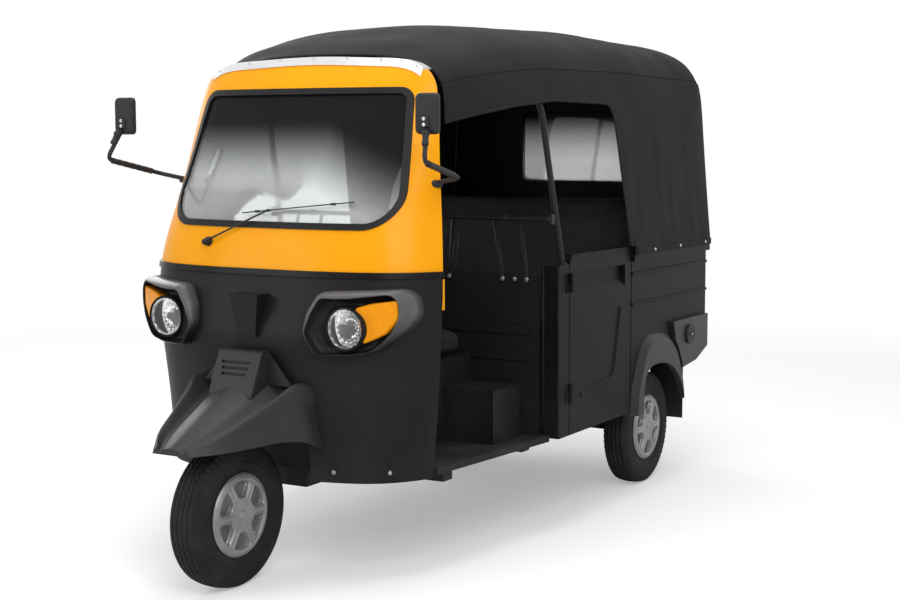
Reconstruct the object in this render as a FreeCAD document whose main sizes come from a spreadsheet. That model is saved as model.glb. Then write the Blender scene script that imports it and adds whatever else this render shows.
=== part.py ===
import FreeCAD, Part
import Sketcher
import math
import os
import re
from FreeCAD import Vector

# An auto rickshaw: a three-wheeled cab with a soft-topped passenger body behind it.
# Millimetres, +X forward, +Y to the left, +Z up, the origin on the ground under the middle.

doc = FreeCAD.newDocument("AutoRickshaw")
sheet = doc.addObject("Spreadsheet::Sheet", "Sizes")

driving_sizes = {
    # wheels
    "frontAxleX": 1175, "wheelbase": 2130, "trackIn": 125,
    "tyreRadius": 249, "tyreWidth": 112, "treadWidth": 88, "shoulderDrop": 24,
    "rimRadius": 132, "rimWall": 14, "rimLip": 6, "rimFit": 0.94,
    "discThick": 10, "hubRadius": 44, "hubBore": 17, "hubProud": 6, "hubCapRadius": 30,
    "hubLength": 36, "windowInner": 58, "windowOuter": 112, "windowInnerHalf": 12,
    "windowOuterHalf": 27, "runningGap": 0.05, "axleRadius": 17,
    # steering
    "rakeAngle": 20, "columnRadius": 24, "columnTop": 1010, "columnFoot": 560,
    "forkRadius": 20, "forkSide": 98, "forkDrop": 12, "barRadius": 12,
    "barHalf": 290, "barBack": 150, "barRise": -20, "gripRadius": 17, "gripLength": 115,
    "cowlWidth": 150, "cowlHeight": 66, "cowlDepth": 90, "cowlFront": 20, "columnGap": 0.5,
    # chassis and floor
    "frameBottom": 285, "floorBottom": 360, "floorTop": 385, "backboneHalf": 90,
    "backboneFront": 860, "backboneSetback": 56, "outriggerIn": 140, "outriggerWidth": 60,
    "outriggerDepth": 45, "frontOutriggerX": 640, "middleOutriggerX": 60, "rearOutriggerAhead": 385,
    "sillHalfFront": 570, "sillFrontX": 752, "floorNoseX": 968,
    "archHalf": 214, "archGap": 32, "archBack": 24, "housingWall": 14, "housingFront": 980,
    "forkRoomHalf": 140, "forkRoomTop": 612, "forkRoomBack": 940,
    # cab
    "cabWall": 20, "cabBottom": 348, "beltBottom": 1046, "beltTop": 1066, "beltProud": 8,
    "panelGap": 0.3, "cabBackRun": 260, "crownTop": 1800, "roofWall": 20,
    "crownHalfInner": 290, "crownHalfMid": 432, "crownHalfOuter": 487, "crownHalfEdge": 512,
    "crownDropInner": 10, "crownDropMid": 34, "crownDropOuter": 78, "crownDropEdge": 150,
    "crownFlare": 160, "crownFoot": 900,
    # cab outlines: height, front, trailing edge and half width of each
    "cabLowZ": 348, "cabLowFront": 1010, "cabLowTrail": 762, "cabLowHalf": 554,
    "cabShinZ": 570, "cabShinFront": 1027, "cabShinTrail": 757, "cabShinHalf": 571,
    "cabKneeZ": 850, "cabKneeFront": 1045, "cabKneeTrail": 773, "cabKneeHalf": 596,
    "cabBeltZ": 1050, "cabBeltFront": 998, "cabBeltTrail": 785, "cabBeltHalf": 610,
    "cabScreenZ": 1210, "cabScreenFront": 958, "cabScreenTrail": 746, "cabScreenHalf": 584,
    "cabEyeZ": 1440, "cabEyeFront": 850, "cabEyeTrail": 702, "cabEyeHalf": 548,
    "cabBrowZ": 1700, "cabBrowFront": 732, "cabBrowTrail": 646, "cabBrowHalf": 514,
    "cabTopZ": 1812, "cabTopFront": 648, "cabTopTrail": 586, "cabTopHalf": 496,
    # windscreen
    "screenBottom": 1204, "screenTop": 1690, "screenBottomHalf": 505, "screenTopHalf": 449,
    "screenBottomRadius": 120, "screenTopRadius": 56, "screenBack": 450, "sealWidth": 22, "sealProud": 5,
    "sealInset": 10, "glassInset": 6, "glassThick": 5,
    # roof strip
    "stripHeight": 26, "stripProud": 4, "stripHalf": 455,
    # lamps and badge block
    "lampHeight": 884, "lampSide": 383, "lampRadius": 70, "lampFaceX": 1039, "lampDome": 12,
    "lampDepth": 75, "indicatorDrop": 8,
    # front of the lamp frame in plan: its inner end, middle and outer end
    "rimInX": 1080, "rimInY": 200, "rimMidX": 1048, "rimMidY": 388, "rimOutX": 953, "rimOutY": 576,
    "badgeTopX": 1084, "badgeBottomX": 1064, "badgeTop": 985, "badgeBottom": 840,
    "badgeTopHalf": 60, "badgeBottomHalf": 34,
    # front mudguard: wall, neck block with its slots, and sections from the panel to the tip
    "guardWall": 12, "neckFrontX": 1108, "neckBackX": 1060, "neckFootX": 1173, "neckHalf": 92, "neckTop": 795,
    "neckFoot": 640, "slotDepth": 10, "slotHeight": 10, "slotPitch": 19, "slotTop": 753, "slotHalf": 62,
    "cheekHalf": 186, "cheekTop": 786, "cheekFoot": 680, "cheekFrontX": 1068,
    # of each section: place, crown, valley, crest and foot heights, and half widths of hood, crest and foot
    "guardRootX": 996, "guardRootCrown": 735, "guardRootValley": 668, "guardRootCrest": 690,
    "guardRootFoot": 452, "guardRootHood": 92, "guardRootWing": 224, "guardRootHalf": 274,
    "guardBackX": 1075, "guardBackCrown": 712, "guardBackValley": 640, "guardBackCrest": 690,
    "guardBackFoot": 498, "guardBackHood": 94, "guardBackWing": 208, "guardBackHalf": 256,
    "guardMidX": 1170, "guardMidCrown": 672, "guardMidValley": 606, "guardMidCrest": 646,
    "guardMidFoot": 510, "guardMidHood": 90, "guardMidWing": 180, "guardMidHalf": 214,
    "guardForeX": 1265, "guardForeCrown": 624, "guardForeValley": 568, "guardForeCrest": 600,
    "guardForeFoot": 505, "guardForeHood": 80, "guardForeWing": 153, "guardForeHalf": 180,
    "guardNoseX": 1370, "guardNoseCrown": 570, "guardNoseValley": 534, "guardNoseCrest": 554,
    "guardNoseFoot": 502, "guardNoseHood": 62, "guardNoseWing": 120, "guardNoseHalf": 142,
    "guardTipX": 1457, "guardTipCrown": 522, "guardTipValley": 506, "guardTipCrest": 517,
    "guardTipFoot": 498, "guardTipHood": 32, "guardTipWing": 62, "guardTipHalf": 78,
    # seats and partition
    "seatFront": 560, "seatRear": 120, "seatHalf": 330, "seatBaseTop": 690, "seatPad": 95,
    "boxFront": 325, "boxTop": 586, "fitGap": 0.3,
    "backBottom": 850, "backTop": 1190, "backThick": 70, "backHalf": 300,
    "boxSideHalf": 545, "partitionX": 54, "partitionThick": 30, "partitionTop": 1000, "partitionGap": 4,
    "barTube": 11, "barTop": 1220, "barSpread": 560,
    "ribDepth": 8, "ribHeight": 34, "ribLow": 672, "ribHigh": 773,
    "benchAhead": 485, "benchBehind": -75, "benchGap": 20, "benchBaseTop": 700, "benchPad": 110,
    "benchBackThick": 110, "benchBackTop": 1300, "benchLean": 90, "wellGap": 29,
    # rear body
    "bodyHalf": 680, "bodyWall": 28, "bodyTop": 1024, "rimHeight": 14, "rimReach": 14,
    "fenceFront": 54, "fenceRear": -30, "fenceDepth": 78, "fenceBottom": 373, "fenceTop": 1038,
    "grooveIn": 12, "grooveWidth": 40, "grooveDepth": 9, "grooveBottom": 415, "grooveTop": 950,
    "doorwayAhead": 350, "rearOverhang": 501, "doorFront": -36, "doorBottom": 373, "doorTop": 1074,
    "doorThick": 40, "doorCut": 24, "doorGap": 6, "doorSeam": 8,
    "recessFront": -104, "recessRear": -546, "recessBottom": 914, "recessShelf": 950, "recessTop": 1003,
    "recessDepth": 20, "ribRadius": 13, "ribSink": 6, "ribBend": 70,
    "ribTopX": -496, "ribTopZ": 824, "ribKneeX": -432, "ribKneeZ": 548, "ribEndX": -138, "ribEndZ": 520,
    "hingeRadius": 8, "hingeX": -33, "hingeOut": 9, "hingeLength": 36, "hingeLow": 500, "hingeHigh": 930,
    "leafReach": 30, "leafThick": 4, "knuckleGap": 0.5,
    "beadLow": 829, "beadHigh": 958, "beadRadius": 7,
    "deckHeight": 930, "deckThick": 18,
    "hatchHalf": 400, "hatchBottom": 515, "hatchTop": 900, "hatchThick": 24, "hatchGap": 0.8,
    "lidPinRadius": 6, "lidPinBehind": 7, "lidPinUp": 6.5, "lidPinSide": 290, "lidLeaf": 24,
    # corner pieces at the tail, with the filler cap on the left
    "tailPlate": 20, "tailTop": 716, "tailFoot": 494, "tailTopBehind": 75, "tailFootBehind": 145,
    "tailIn": 16, "tailHeelIn": 156, "tailHeelZ": 514, "tailCornerZ": 566, "tailGap": 0.8,
    "fillerBehind": 255, "fillerZ": 643, "fillerRadius": 43, "fillerProud": 10,
    # rear fenders and flaps
    "fenderAhead": 55, "archCentreAhead": 40, "wheelRoom": 73, "fenderHalf": 287, "fenderTop": 680,
    "fenderProud": 25, "fenderBevel": 32, "fenderFoot": 355,
    "flapThick": 8, "flapBehind": 307, "flapBottom": 245,
    "flapIn": 65, "flapHold": 46,
    # canopy
    "clothThick": 12, "skirtBottom": 1038, "canopyFront": 606, "doorClear": 8,
    # canopy sections: place, crown and eave heights, and how far eave and skirt are from the body's side
    "roofLipX": 606, "roofLipCrown": 1814, "roofLipEave": 1640, "lipOut": 12, "lipFlare": 44,
    "roofCabX": 470, "roofCabCrown": 1880, "roofCabEave": 1650, "cabEaveIn": 18, "cabFlareOut": 24,
    "roofForeX": 240, "roofForeCrown": 1935, "roofForeEave": 1660, "foreEaveIn": 52, "foreFlareIn": 12,
    "roofPostX": 0, "roofPostCrown": 1960, "roofPostEave": 1668, "postEaveIn": 28, "postFlareOut": 12,
    "roofMidAhead": 455, "roofMidCrown": 1978, "roofMidEave": 1672, "midEaveIn": 16, "midFlareOut": 20,
    "roofAftBehind": 145, "roofAftCrown": 1980, "roofAftEave": 1672, "tailEaveIn": 12, "tailFlareOut": 22,
    "roofTailCrown": 1974, "roofTailEave": 1668, "tailOver": 24,
    "tailLength": 150, "tailDrop": 150, "tailTaper": 34, "tailTuck": 8,
    # corners of the canopy's side opening
    "holeFrontX": 640, "holeFrontZ": 1560, "holeBrowX": 490, "holeBrowZ": 1600,
    "holeMidX": 300, "holeMidZ": 1634, "holePostX": 57, "holePostZ": 1661,
    "holeTopAhead": 205, "holeTopZ": 1660, "holeCornerAhead": 153, "holeCornerZ": 1630, "holeRearAhead": 40,
    "windowHalf": 300, "windowLow": 1322, "windowTop": 1655, "windowRadius": 25, "filmThick": 3,
    "hoopRadius": 12,
    # dashboard and mirrors: places of their corners
    "dashRear": 872, "dashBottom": 1104, "dashTop": 1150, "dashHalf": 520,
    "mirrorHeadX": 941, "mirrorHeadY": 646, "mirrorHeadZ": 1592, "mirrorElbowX": 1005,
    "mirrorElbowY": 675, "mirrorElbowZ": 1436,
    "mirrorBendX": 742, "mirrorBendY": 652, "mirrorBendZ": 1380, "mirrorBaseX": 730, "mirrorBaseY": 541, "mirrorBaseZ": 1358,
    "mirrorTurn": 34, "wiperPivotY": -240, "wiperPivotZ": 1151, "wiperArmY": 10, "wiperArmZ": 1265,
    "bladeLeftY": 336, "bladeLeftZ": 1298, "bladeRightY": -100, "bladeRightZ": 1254,
    "bladeStand": 9, "armStand": 22, "bladeBend": 150, "tailLampIn": 120, "tailLampZ": 800, "tailLampDepth": 24,
    "armReach": 375, "armPivotZ": 330, "hoopFrontTopX": 132, "hoopFrontFootX": -4,
    "hoopMidBehind": 31, "hoopRearAhead": 64, "hoopBend": 150, "hoopEaveIn": 52,
    "hoopEave": 1700, "hoopCrown": 1925, "footPlate": 8, "footRadius": 19,
    # mirrors, wiper and rear fittings
    "mirrorTube": 8, "mirrorWidth": 86, "mirrorHeight": 134, "mirrorDepth": 27,
    "wiperTube": 5, "wiperHub": 14, "engineAhead": 70, "engineBehind": 415, "engineHalf": 230,
    "engineTop": 690, "tailLampRadius": 42, "plateSpacing": 210, "plateHeight": 660,
    "plateHoleRadius": 3.5, "armThick": 34, "armIn": 115, "armHeight": 60,
    "towRadius": 14, "towLength": 50, "towThick": 12,
    # how far a cutting tool runs past what it cuts, and across the whole vehicle
    "overrun": 20, "toolReach": 3000,
}
for row, (alias, number) in enumerate(driving_sizes.items(), start=1):
    sheet.set(f"A{row}", alias)
    sheet.set(f"B{row}", str(number))
    sheet.setAlias(f"B{row}", alias)
doc.recompute()

# sizes and places that follow from those in the sheet
following_sizes = {
    "rearAxleX": "frontAxleX - wheelbase", "rearTrackHalf": "bodyHalf - trackIn",
    "archTop": "2 * tyreRadius + archGap", "archRear": "frontAxleX - tyreRadius - archBack",
    "sideRear": "rearAxleX - rearOverhang", "doorRear": "rearAxleX + doorwayAhead",
    "sideFront": "doorRear - doorSeam", "sillHalfRear": "bodyHalf - doorThick",
    "backboneRear": "sideRear + backboneSetback", "outriggerHalf": "bodyHalf - outriggerIn",
    "rearOutriggerX": "rearAxleX + rearOutriggerAhead",
    "partitionHalf": "bodyHalf - fenceDepth - partitionGap", "benchHalf": "bodyHalf - bodyWall - benchGap",
    "benchFront": "rearAxleX + benchAhead", "benchRear": "rearAxleX - benchBehind",
    "benchWell": "rearTrackHalf - tyreWidth / 2 - wellGap",
    "archCentreX": "rearAxleX + archCentreAhead", "archRadius": "tyreRadius + wheelRoom",
    "tailHeelX": "sideRear + tailHeelIn", "tailRearX": "sideRear + tailIn",
    "tailFootX": "rearAxleX - tailFootBehind", "tailTopX": "rearAxleX - tailTopBehind",
    "fillerX": "rearAxleX - fillerBehind",
    "fenderCentreX": "rearAxleX + fenderAhead", "fenderOut": "bodyHalf + fenderProud",
    "flapX": "rearAxleX - flapBehind", "flapInner": "rearTrackHalf - flapIn",
    "flapOuter": "bodyHalf - bodyWall - fitGap",
    "roofMidX": "rearAxleX + roofMidAhead", "roofAftX": "rearAxleX - roofAftBehind",
    "roofTailX": "sideRear + tailLength - tailOver",
    "roofLipHalf": "cabTopHalf + lipOut", "roofLipFlare": "cabTopHalf + lipFlare",
    "roofCabHalf": "(cabTopHalf + bodyHalf) / 2 - cabEaveIn", "roofCabFlare": "(cabTopHalf + bodyHalf) / 2 + cabFlareOut",
    "roofForeHalf": "bodyHalf - foreEaveIn", "roofForeFlare": "bodyHalf - foreFlareIn",
    "roofPostHalf": "bodyHalf - postEaveIn", "roofPostFlare": "bodyHalf + postFlareOut",
    "roofMidHalf": "bodyHalf - midEaveIn", "roofMidFlare": "bodyHalf + midFlareOut",
    "roofAftHalf": "bodyHalf - tailEaveIn", "roofAftFlare": "bodyHalf + tailFlareOut",
    "roofTailHalf": "bodyHalf - tailEaveIn", "roofTailFlare": "bodyHalf + tailFlareOut",
    "holeTopX": "doorRear + holeTopAhead", "holeCornerX": "doorRear + holeCornerAhead",
    "holeRearX": "doorRear + holeRearAhead", "holeRearZ": "doorTop + doorClear",
    "hoopMidX": "doorRear - hoopMidBehind", "hoopRearX": "sideRear + hoopRearAhead",
    "hoopFootHalf": "bodyHalf - footRadius", "hoopEaveHalf": "bodyHalf - hoopEaveIn",
    "tailLampSide": "bodyHalf - tailLampIn", "engineFront": "rearAxleX + engineAhead",
    "engineRear": "rearAxleX - engineBehind", "armSide": "rearTrackHalf - armIn",
    "armPivotX": "rearAxleX + armReach",
}


def bound(words):
    # a sum of size names, written as an expression on the sheet
    def as_cell(found):
        name = found.group()
        if name in following_sizes:
            return "(" + bound(following_sizes[name]) + ")"
        return "Sizes." + name
    return re.sub(r"[A-Za-z]\w*", as_cell, words)


def worth(words):
    return float(sheet.evalExpression(bound(words)))


def size(alias):
    return worth(alias)


# helpers that make objects bound to the sheet

def block(name, xs, ys, zs):
    # a box between two named places along each axis
    part = doc.addObject("Part::Box", name)
    for side, (low, high), place in (("Length", xs, "x"), ("Width", ys, "y"), ("Height", zs, "z")):
        part.setExpression(side, bound(f"({high}) - ({low})"))
        part.setExpression("Placement.Base." + place, bound(low))
    return part


def rod(name, direction, place, radius, length):
    # a cylinder along one axis, from a named place
    part = doc.addObject("Part::Cylinder", name)
    part.setExpression("Radius", bound(radius))
    part.setExpression("Height", bound(length))
    turn = FreeCAD.Rotation(Vector(0, 0, 1), direction)
    part.Placement = FreeCAD.Placement(Vector(), turn)
    for axis, words in zip("xyz", place):
        part.setExpression("Placement.Base." + axis, bound(words))
    return part


def fused(name, *parts):
    joined = doc.addObject("Part::MultiFuse", name)
    joined.Shapes = list(parts)
    joined.Label = name
    return joined


def named(name, part):
    part.Label = name
    return part


def cut(name, base, *tools):
    tool = tools[0]
    if len(tools) > 1:
        tool = fused(name + "Tools", *tools)
    result = doc.addObject("Part::Cut", name)
    result.Base = base
    result.Tool = tool
    result.Label = name
    return result


def across(name, source):
    # the same piece on the other side of the vehicle
    copy = doc.addObject("Part::Mirroring", name)
    copy.Source = source
    copy.Normal = Vector(0, 1, 0)
    copy.Label = name
    return copy


def pair(name, source):
    both = doc.addObject("Part::Compound", name)
    both.Links = [source, across(name + "Right", source)]
    both.Label = name
    return both


def shaped(name, shape):
    part = doc.addObject("Part::Feature", name)
    part.Shape = shape
    part.Label = name
    return part


def origin_plane(body, role):
    return next(item for item in body.Origin.OriginFeatures if item.Role == role)


def outline_sketch(body, name, role, corners, offset="0"):
    # a closed outline whose corners are bound to the sheet
    sketch = body.newObject("Sketcher::SketchObject", name)
    sketch.AttachmentSupport = [(origin_plane(body, role), "")]
    sketch.MapMode = "FlatFace"
    sketch.setExpression("AttachmentOffset.Base.z", bound(offset))
    places = [Vector(worth(across_), worth(up), 0) for across_, up in corners]
    for start, end in zip(places, places[1:] + places[:1]):
        sketch.addGeometry(Part.LineSegment(start, end))
    for number, (words, place) in enumerate(zip(corners, places)):
        follower = (number + 1) % len(corners)
        sketch.addConstraint(Sketcher.Constraint("Coincident", number, 2, follower, 1))
    for number, (words, place) in enumerate(zip(corners, places)):
        for kind, text, value in (("DistanceX", words[0], place.x), ("DistanceY", words[1], place.y)):
            index = sketch.addConstraint(Sketcher.Constraint(kind, -1, 1, number, 1, value))
            sketch.setExpression(f"Constraints[{index}]", bound(text))
    return sketch


def padded_outline(name, role, corners, length, offset="0"):
    body = doc.addObject("PartDesign::Body", name)
    body.Label = name
    sketch = outline_sketch(body, name + "Outline", role, corners, offset)
    pad = body.newObject("PartDesign::Pad", name + "Pad")
    pad.Profile = sketch
    pad.setExpression("Length", bound(length))
    sketch.Visibility = False
    return body


def mirror_corners(half_outline):
    # an outline that is the same on both sides of its second axis
    other = [(x, f"-({y})") for x, y in reversed(half_outline)]
    return half_outline + other


# curved forms, worked out from the sheet

def solid_through(wires):
    return Part.makeLoft(wires, True, False)


def eased(places, values, at):
    # a smooth value between given ones that never runs past them
    gaps = [after - before for before, after in zip(places, places[1:])]
    slopes = [(after - before) / gap for before, after, gap in zip(values, values[1:], gaps)]
    tangents = [slopes[0]]
    for left, right in zip(slopes, slopes[1:]):
        tangents.append(2 * left * right / (left + right) if left * right > 0 else 0)
    tangents.append(slopes[-1])
    spot = max(index for index in range(len(gaps)) if index == 0 or places[index] <= at)
    gap, t = gaps[spot], (at - places[spot]) / gaps[spot]
    start = values[spot] * (1 + 2 * t) * (1 - t) ** 2 + gap * tangents[spot] * t * (1 - t) ** 2
    end = values[spot + 1] * t ** 2 * (3 - 2 * t) + gap * tangents[spot + 1] * t ** 2 * (t - 1)
    return start + end


def evenly(low, high, count):
    return [low + (high - low) * step / (count - 1) for step in range(count)]


def smooth_edge(points):
    curve = Part.BSplineCurve()
    curve.interpolate(points)
    return curve.toShape()


def prism(points, direction):
    # a solid with straight sides, from a flat outline carried along a direction
    face = Part.Face(Part.makePolygon(points + points[:1]))
    return face.extrude(direction)


def rounded_prism(corners, radii, make_point, direction):
    # an outline with a radius at each corner, carried along a direction
    edges = []
    starts, ends = [], []
    count = len(corners)
    for index, (corner, radius) in enumerate(zip(corners, radii)):
        here = Vector(*corner, 0)
        before = (Vector(*corners[index - 1], 0) - here).normalize()
        after = (Vector(*corners[(index + 1) % count], 0) - here).normalize()
        half_turn = before.getAngle(after) / 2
        reach = radius / math.tan(half_turn)
        middle = (before + after).normalize() * (radius / math.sin(half_turn) - radius)
        starts.append((here + before * reach, here + middle, here + after * reach))
    for index, (first, middle, last) in enumerate(starts):
        nearest = [make_point(place.x, place.y) for place in (first, middle, last)]
        edges.append(Part.Arc(*nearest).toShape())
        following = starts[(index + 1) % count][0]
        edges.append(Part.LineSegment(nearest[2], make_point(following.x, following.y)).toShape())
    return Part.Face(Part.Wire(edges)).extrude(direction)


def bent_tube(points, radius, bend):
    # a round tube along straight runs joined by tangent arcs
    path = []
    last = points[0]
    for before, corner, after in zip(points, points[1:], points[2:]):
        to_before = (before - corner).normalize()
        to_after = (after - corner).normalize()
        half_turn = to_before.getAngle(to_after) / 2
        reach = bend / math.tan(half_turn)
        first = corner + to_before * reach
        end = corner + to_after * reach
        middle = corner + (to_before + to_after).normalize() * (bend / math.sin(half_turn) - bend)
        path.append(Part.LineSegment(last, first).toShape())
        path.append(Part.Arc(first, middle, end).toShape())
        last = end
    path.append(Part.LineSegment(last, points[-1]).toShape())
    start = (points[1] - points[0]).normalize()
    ring = Part.Wire(Part.Circle(points[0], start, radius).toShape())
    return Part.Wire(path).makePipeShell([ring], True, True)


def both_sides(shape):
    return Part.makeCompound([shape, shape.mirror(Vector(), Vector(0, 1, 0))])


# the cab: plan outlines at several heights, each the same curve stretched to its size

planWidthShares = (0, 0.32, 0.56, 0.78, 0.925, 1)
planDepthShares = (0, 0.005, 0.11, 0.32, 0.66, 1)
cabOutlines = ("Low", "Shin", "Knee", "Belt", "Screen", "Eye", "Brow", "Top")
cabTable = {part: [size(f"cab{level}{part}") for level in cabOutlines] for part in ("Z", "Front", "Trail", "Half")}
cabHeights = cabTable["Z"]
cabLevelCount = 12


def cab_outline(height, inset, back_run=0):
    # the plan curve at one height, set in from the outside, closed behind its trailing edge
    front, trail, half = (eased(cabHeights, cabTable[part], height) for part in ("Front", "Trail", "Half"))
    depth = front - trail
    left = [Vector(front - inset - (depth - inset) * back, (half - inset) * out, height)
            for out, back in zip(planWidthShares, planDepthShares)]
    right = [Vector(place.x, -place.y, place.z) for place in left[:0:-1]]
    curve = smooth_edge(right + left)
    back_x = trail - back_run
    corners = [left[-1], Vector(back_x, left[-1].y, height), Vector(back_x, -left[-1].y, height), right[0]]
    if not back_run:
        corners = [left[-1], right[0]]
    sides = [Part.LineSegment(*ends).toShape() for ends in zip(corners, corners[1:])]
    return Part.Wire([curve] + sides)


def cab_solid(inset, back_run=0):
    heights = evenly(cabHeights[0], cabHeights[-1], cabLevelCount)
    return solid_through([cab_outline(height, inset, back_run) for height in heights])


def slab(low, high):
    # everything between two heights
    reach = size("toolReach")
    return Part.makeBox(2 * reach, 2 * reach, high - low, Vector(-reach, -reach, low))


def crown_prism(drop):
    # everything under the arched roof line of the cab
    top = size("crownTop") - drop
    arch = [(size("crownHalf" + part), top - size("crownDrop" + part)) for part in ("Inner", "Mid", "Outer", "Edge")]
    left = [Vector(0, 0, top)] + [Vector(0, out, up) for out, up in arch]
    right = [Vector(0, -place.y, place.z) for place in left[:0:-1]]
    wide = left[-1].y + size("crownFlare")
    foot = size("crownFoot")
    eave = left[-1].z - size("crownFlare")
    corners = [left[-1], Vector(0, wide, eave), Vector(0, wide, foot), Vector(0, -wide, foot),
               Vector(0, -wide, eave), right[0]]
    sides = [Part.LineSegment(*ends).toShape() for ends in zip(corners, corners[1:])]
    face = Part.Face(Part.Wire([smooth_edge(right + left)] + sides))
    return face.extrude(Vector(size("toolReach"), 0, 0))


cabOutside = cab_solid(0)
cabInside = cab_solid(size("cabWall"), size("cabBackRun"))
cabClear = cab_solid(-size("panelGap"), size("cabBackRun"))


def cab_shell(low, high):
    return cabOutside.common(slab(low, high)).cut(cabInside)


def screen_prism(inset):
    # the windscreen's outline seen from the front, carried through the shell
    low, high = size("screenBottom") + inset, size("screenTop") - inset
    wide, narrow = size("screenBottomHalf") - inset, size("screenTopHalf") - inset
    corners = [(-wide, low), (wide, low), (narrow, high), (-narrow, high)]
    radii = [size("screenBottomRadius") - inset] * 2 + [size("screenTopRadius") - inset] * 2
    start = size("screenBack")
    return rounded_prism(corners, radii, lambda y, z: Vector(start, y, z), Vector(size("toolReach"), 0, 0))


def wheel_arch_tool():
    half, top, rear = size("archHalf"), size("archTop"), size("archRear")
    return Part.makeBox(size("toolReach"), 2 * half, top, Vector(rear, -half, 0))


def fork_room():
    # the gap behind the mudguard in which the fork's shoulder turns
    half, low = size("forkRoomHalf"), size("archTop") - size("overrun")
    corner = Vector(size("forkRoomBack"), -half, low)
    return Part.makeBox(size("toolReach"), 2 * half, size("forkRoomTop") - low, corner)


def column_direction():
    rake = math.radians(size("rakeAngle"))
    return Vector(-math.sin(rake), 0, math.cos(rake))


def column_point(height):
    # the point of the steering axis at one height
    direction = column_direction()
    centre = Vector(size("frontAxleX"), 0, size("tyreRadius"))
    return centre + direction * ((height - centre.z) / direction.z)


def column_hole():
    start = column_point(size("archTop") - size("overrun"))
    reach = size("columnTop") - size("archTop")
    return Part.makeCylinder(size("columnRadius") + size("columnGap"), reach, start, column_direction())


def make_cab():
    lower = cab_shell(size("cabBottom"), size("beltBottom") - size("panelGap"))
    lower = lower.cut(wheel_arch_tool()).cut(fork_room()).cut(column_hole())
    shaped("cab_lower_panel", lower)

    band = slab(size("beltBottom"), size("beltTop"))
    belt = cab_solid(-size("beltProud")).common(band).cut(cabInside)
    shaped("belt_moulding", belt)

    upper = cabOutside.common(slab(size("beltTop") + size("panelGap"), size("crownTop")))
    upper = upper.common(crown_prism(0))
    hollow = cabInside.common(crown_prism(size("roofWall")))
    upper = upper.cut(hollow).cut(screen_prism(0))
    shaped("cab_upper_panel", upper)

    seal_outer = cab_solid(-size("sealProud"), size("cabBackRun"))
    seal_inner = cab_solid(size("sealInset"), size("cabBackRun"))
    ring = screen_prism(size("panelGap")).cut(screen_prism(size("sealWidth")))
    shaped("windscreen_seal", ring.common(seal_outer).cut(seal_inner))

    outer = cab_solid(size("glassInset"), size("cabBackRun"))
    inner = cab_solid(size("glassInset") + size("glassThick"), size("cabBackRun"))
    pane = screen_prism(size("sealWidth") + size("panelGap"))
    shaped("windscreen", pane.common(outer).cut(inner))


def make_roof_strip():
    # the aluminium strip that holds the canopy's front edge on the brow of the cab
    outer = cab_solid(-size("stripProud"), size("cabBackRun")).common(crown_prism(-size("stripProud")))
    core = cab_solid(-size("panelGap"), size("cabBackRun")).common(crown_prism(-size("panelGap")))
    skin = outer.cut(core).common(slab(size("screenTop"), size("crownTop") + size("overrun")))
    under = crown_prism(size("stripHeight"))
    half = size("stripHalf")
    front = Part.makeBox(size("toolReach"), 2 * half, size("toolReach"), Vector(size("canopyFront"), -half, 0))
    shaped("roof_strip", skin.cut(under).common(front))


def outside_cab(shape):
    return shape.cut(cabClear)


def front_prism(points, start):
    return prism([Vector(start, y, z) for y, z in points], Vector(size("toolReach"), 0, 0))


bezelShares = ((-1.35, 1.72), (-2.0, 0.7), (-2.2, -0.2), (-1.5, -1.35), (0.1, -1.37), (1.35, -1.15),
               (2.38, -0.09), (2.74, 0.62), (2.68, 1.5), (2.3, 1.87))
indicatorShares = ((0.42, 1.03), (1.18, 1.22), (2.35, 1.39), (2.36, 0.47), (1.8, -0.24), (0.8, -0.7))



def lamp_points(shares):
    radius = size("lampRadius")
    return [(size("lampSide") + radius * out, size("lampHeight") + radius * up) for out, up in shares]


def lamp_room(drop):
    # all that lies behind the curved front of a lamp frame, up to the belt
    start = size("cabLowTrail") + size("cabWall")
    ends = [Vector(size(f"rim{place}X") - drop, size(f"rim{place}Y"), 0) for place in ("In", "Mid", "Out")]
    corners = [ends[2], Vector(start, ends[2].y, 0), Vector(start, ends[0].y, 0), ends[0]]
    sides = [Part.LineSegment(a, b).toShape() for a, b in zip(corners, corners[1:])]
    plan = Part.Face(Part.Wire([Part.Arc(*ends).toShape()] + sides))
    return plan.extrude(Vector(0, 0, size("beltBottom")))


def make_lamps():
    side, height, radius = size("lampSide"), size("lampHeight"), size("lampRadius")
    gap = size("panelGap")
    start = size("cabLowTrail") + size("cabWall")
    face_x = size("lampFaceX")
    depth = size("lampDepth")

    def lamp_rod(grow):
        rod_solid = Part.makeCylinder(radius + grow, depth, Vector(face_x - depth, side, height), Vector(1, 0, 0))
        return rod_solid

    housing = front_prism(lamp_points(bezelShares), start)
    housing = housing.common(lamp_room(0))
    indicator_tool = front_prism(lamp_points(indicatorShares), start)
    bowl = Part.makeCylinder(radius + gap, size("toolReach"), Vector(start, side, height), Vector(1, 0, 0))
    housing = outside_cab(housing).cut(bowl).cut(indicator_tool)
    shaped("headlamp_bezels", both_sides(housing))

    dome_radius = (radius ** 2 + size("lampDome") ** 2) / (2 * size("lampDome"))
    dome_centre = Vector(face_x + size("lampDome") - dome_radius, side, height)
    dome = Part.makeSphere(dome_radius, dome_centre)
    lens = Part.makeCylinder(radius, depth + size("lampDome"), Vector(face_x - depth, side, height), Vector(1, 0, 0))
    shaped("headlamps", both_sides(outside_cab(lens.common(dome))))

    amber = indicator_tool.common(lamp_room(size("indicatorDrop")))
    amber = outside_cab(amber).cut(Part.makeCylinder(radius + 2 * gap, size("toolReach"),
                                                     Vector(start, side, height), Vector(1, 0, 0)))
    shaped("indicators", both_sides(amber))


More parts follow.
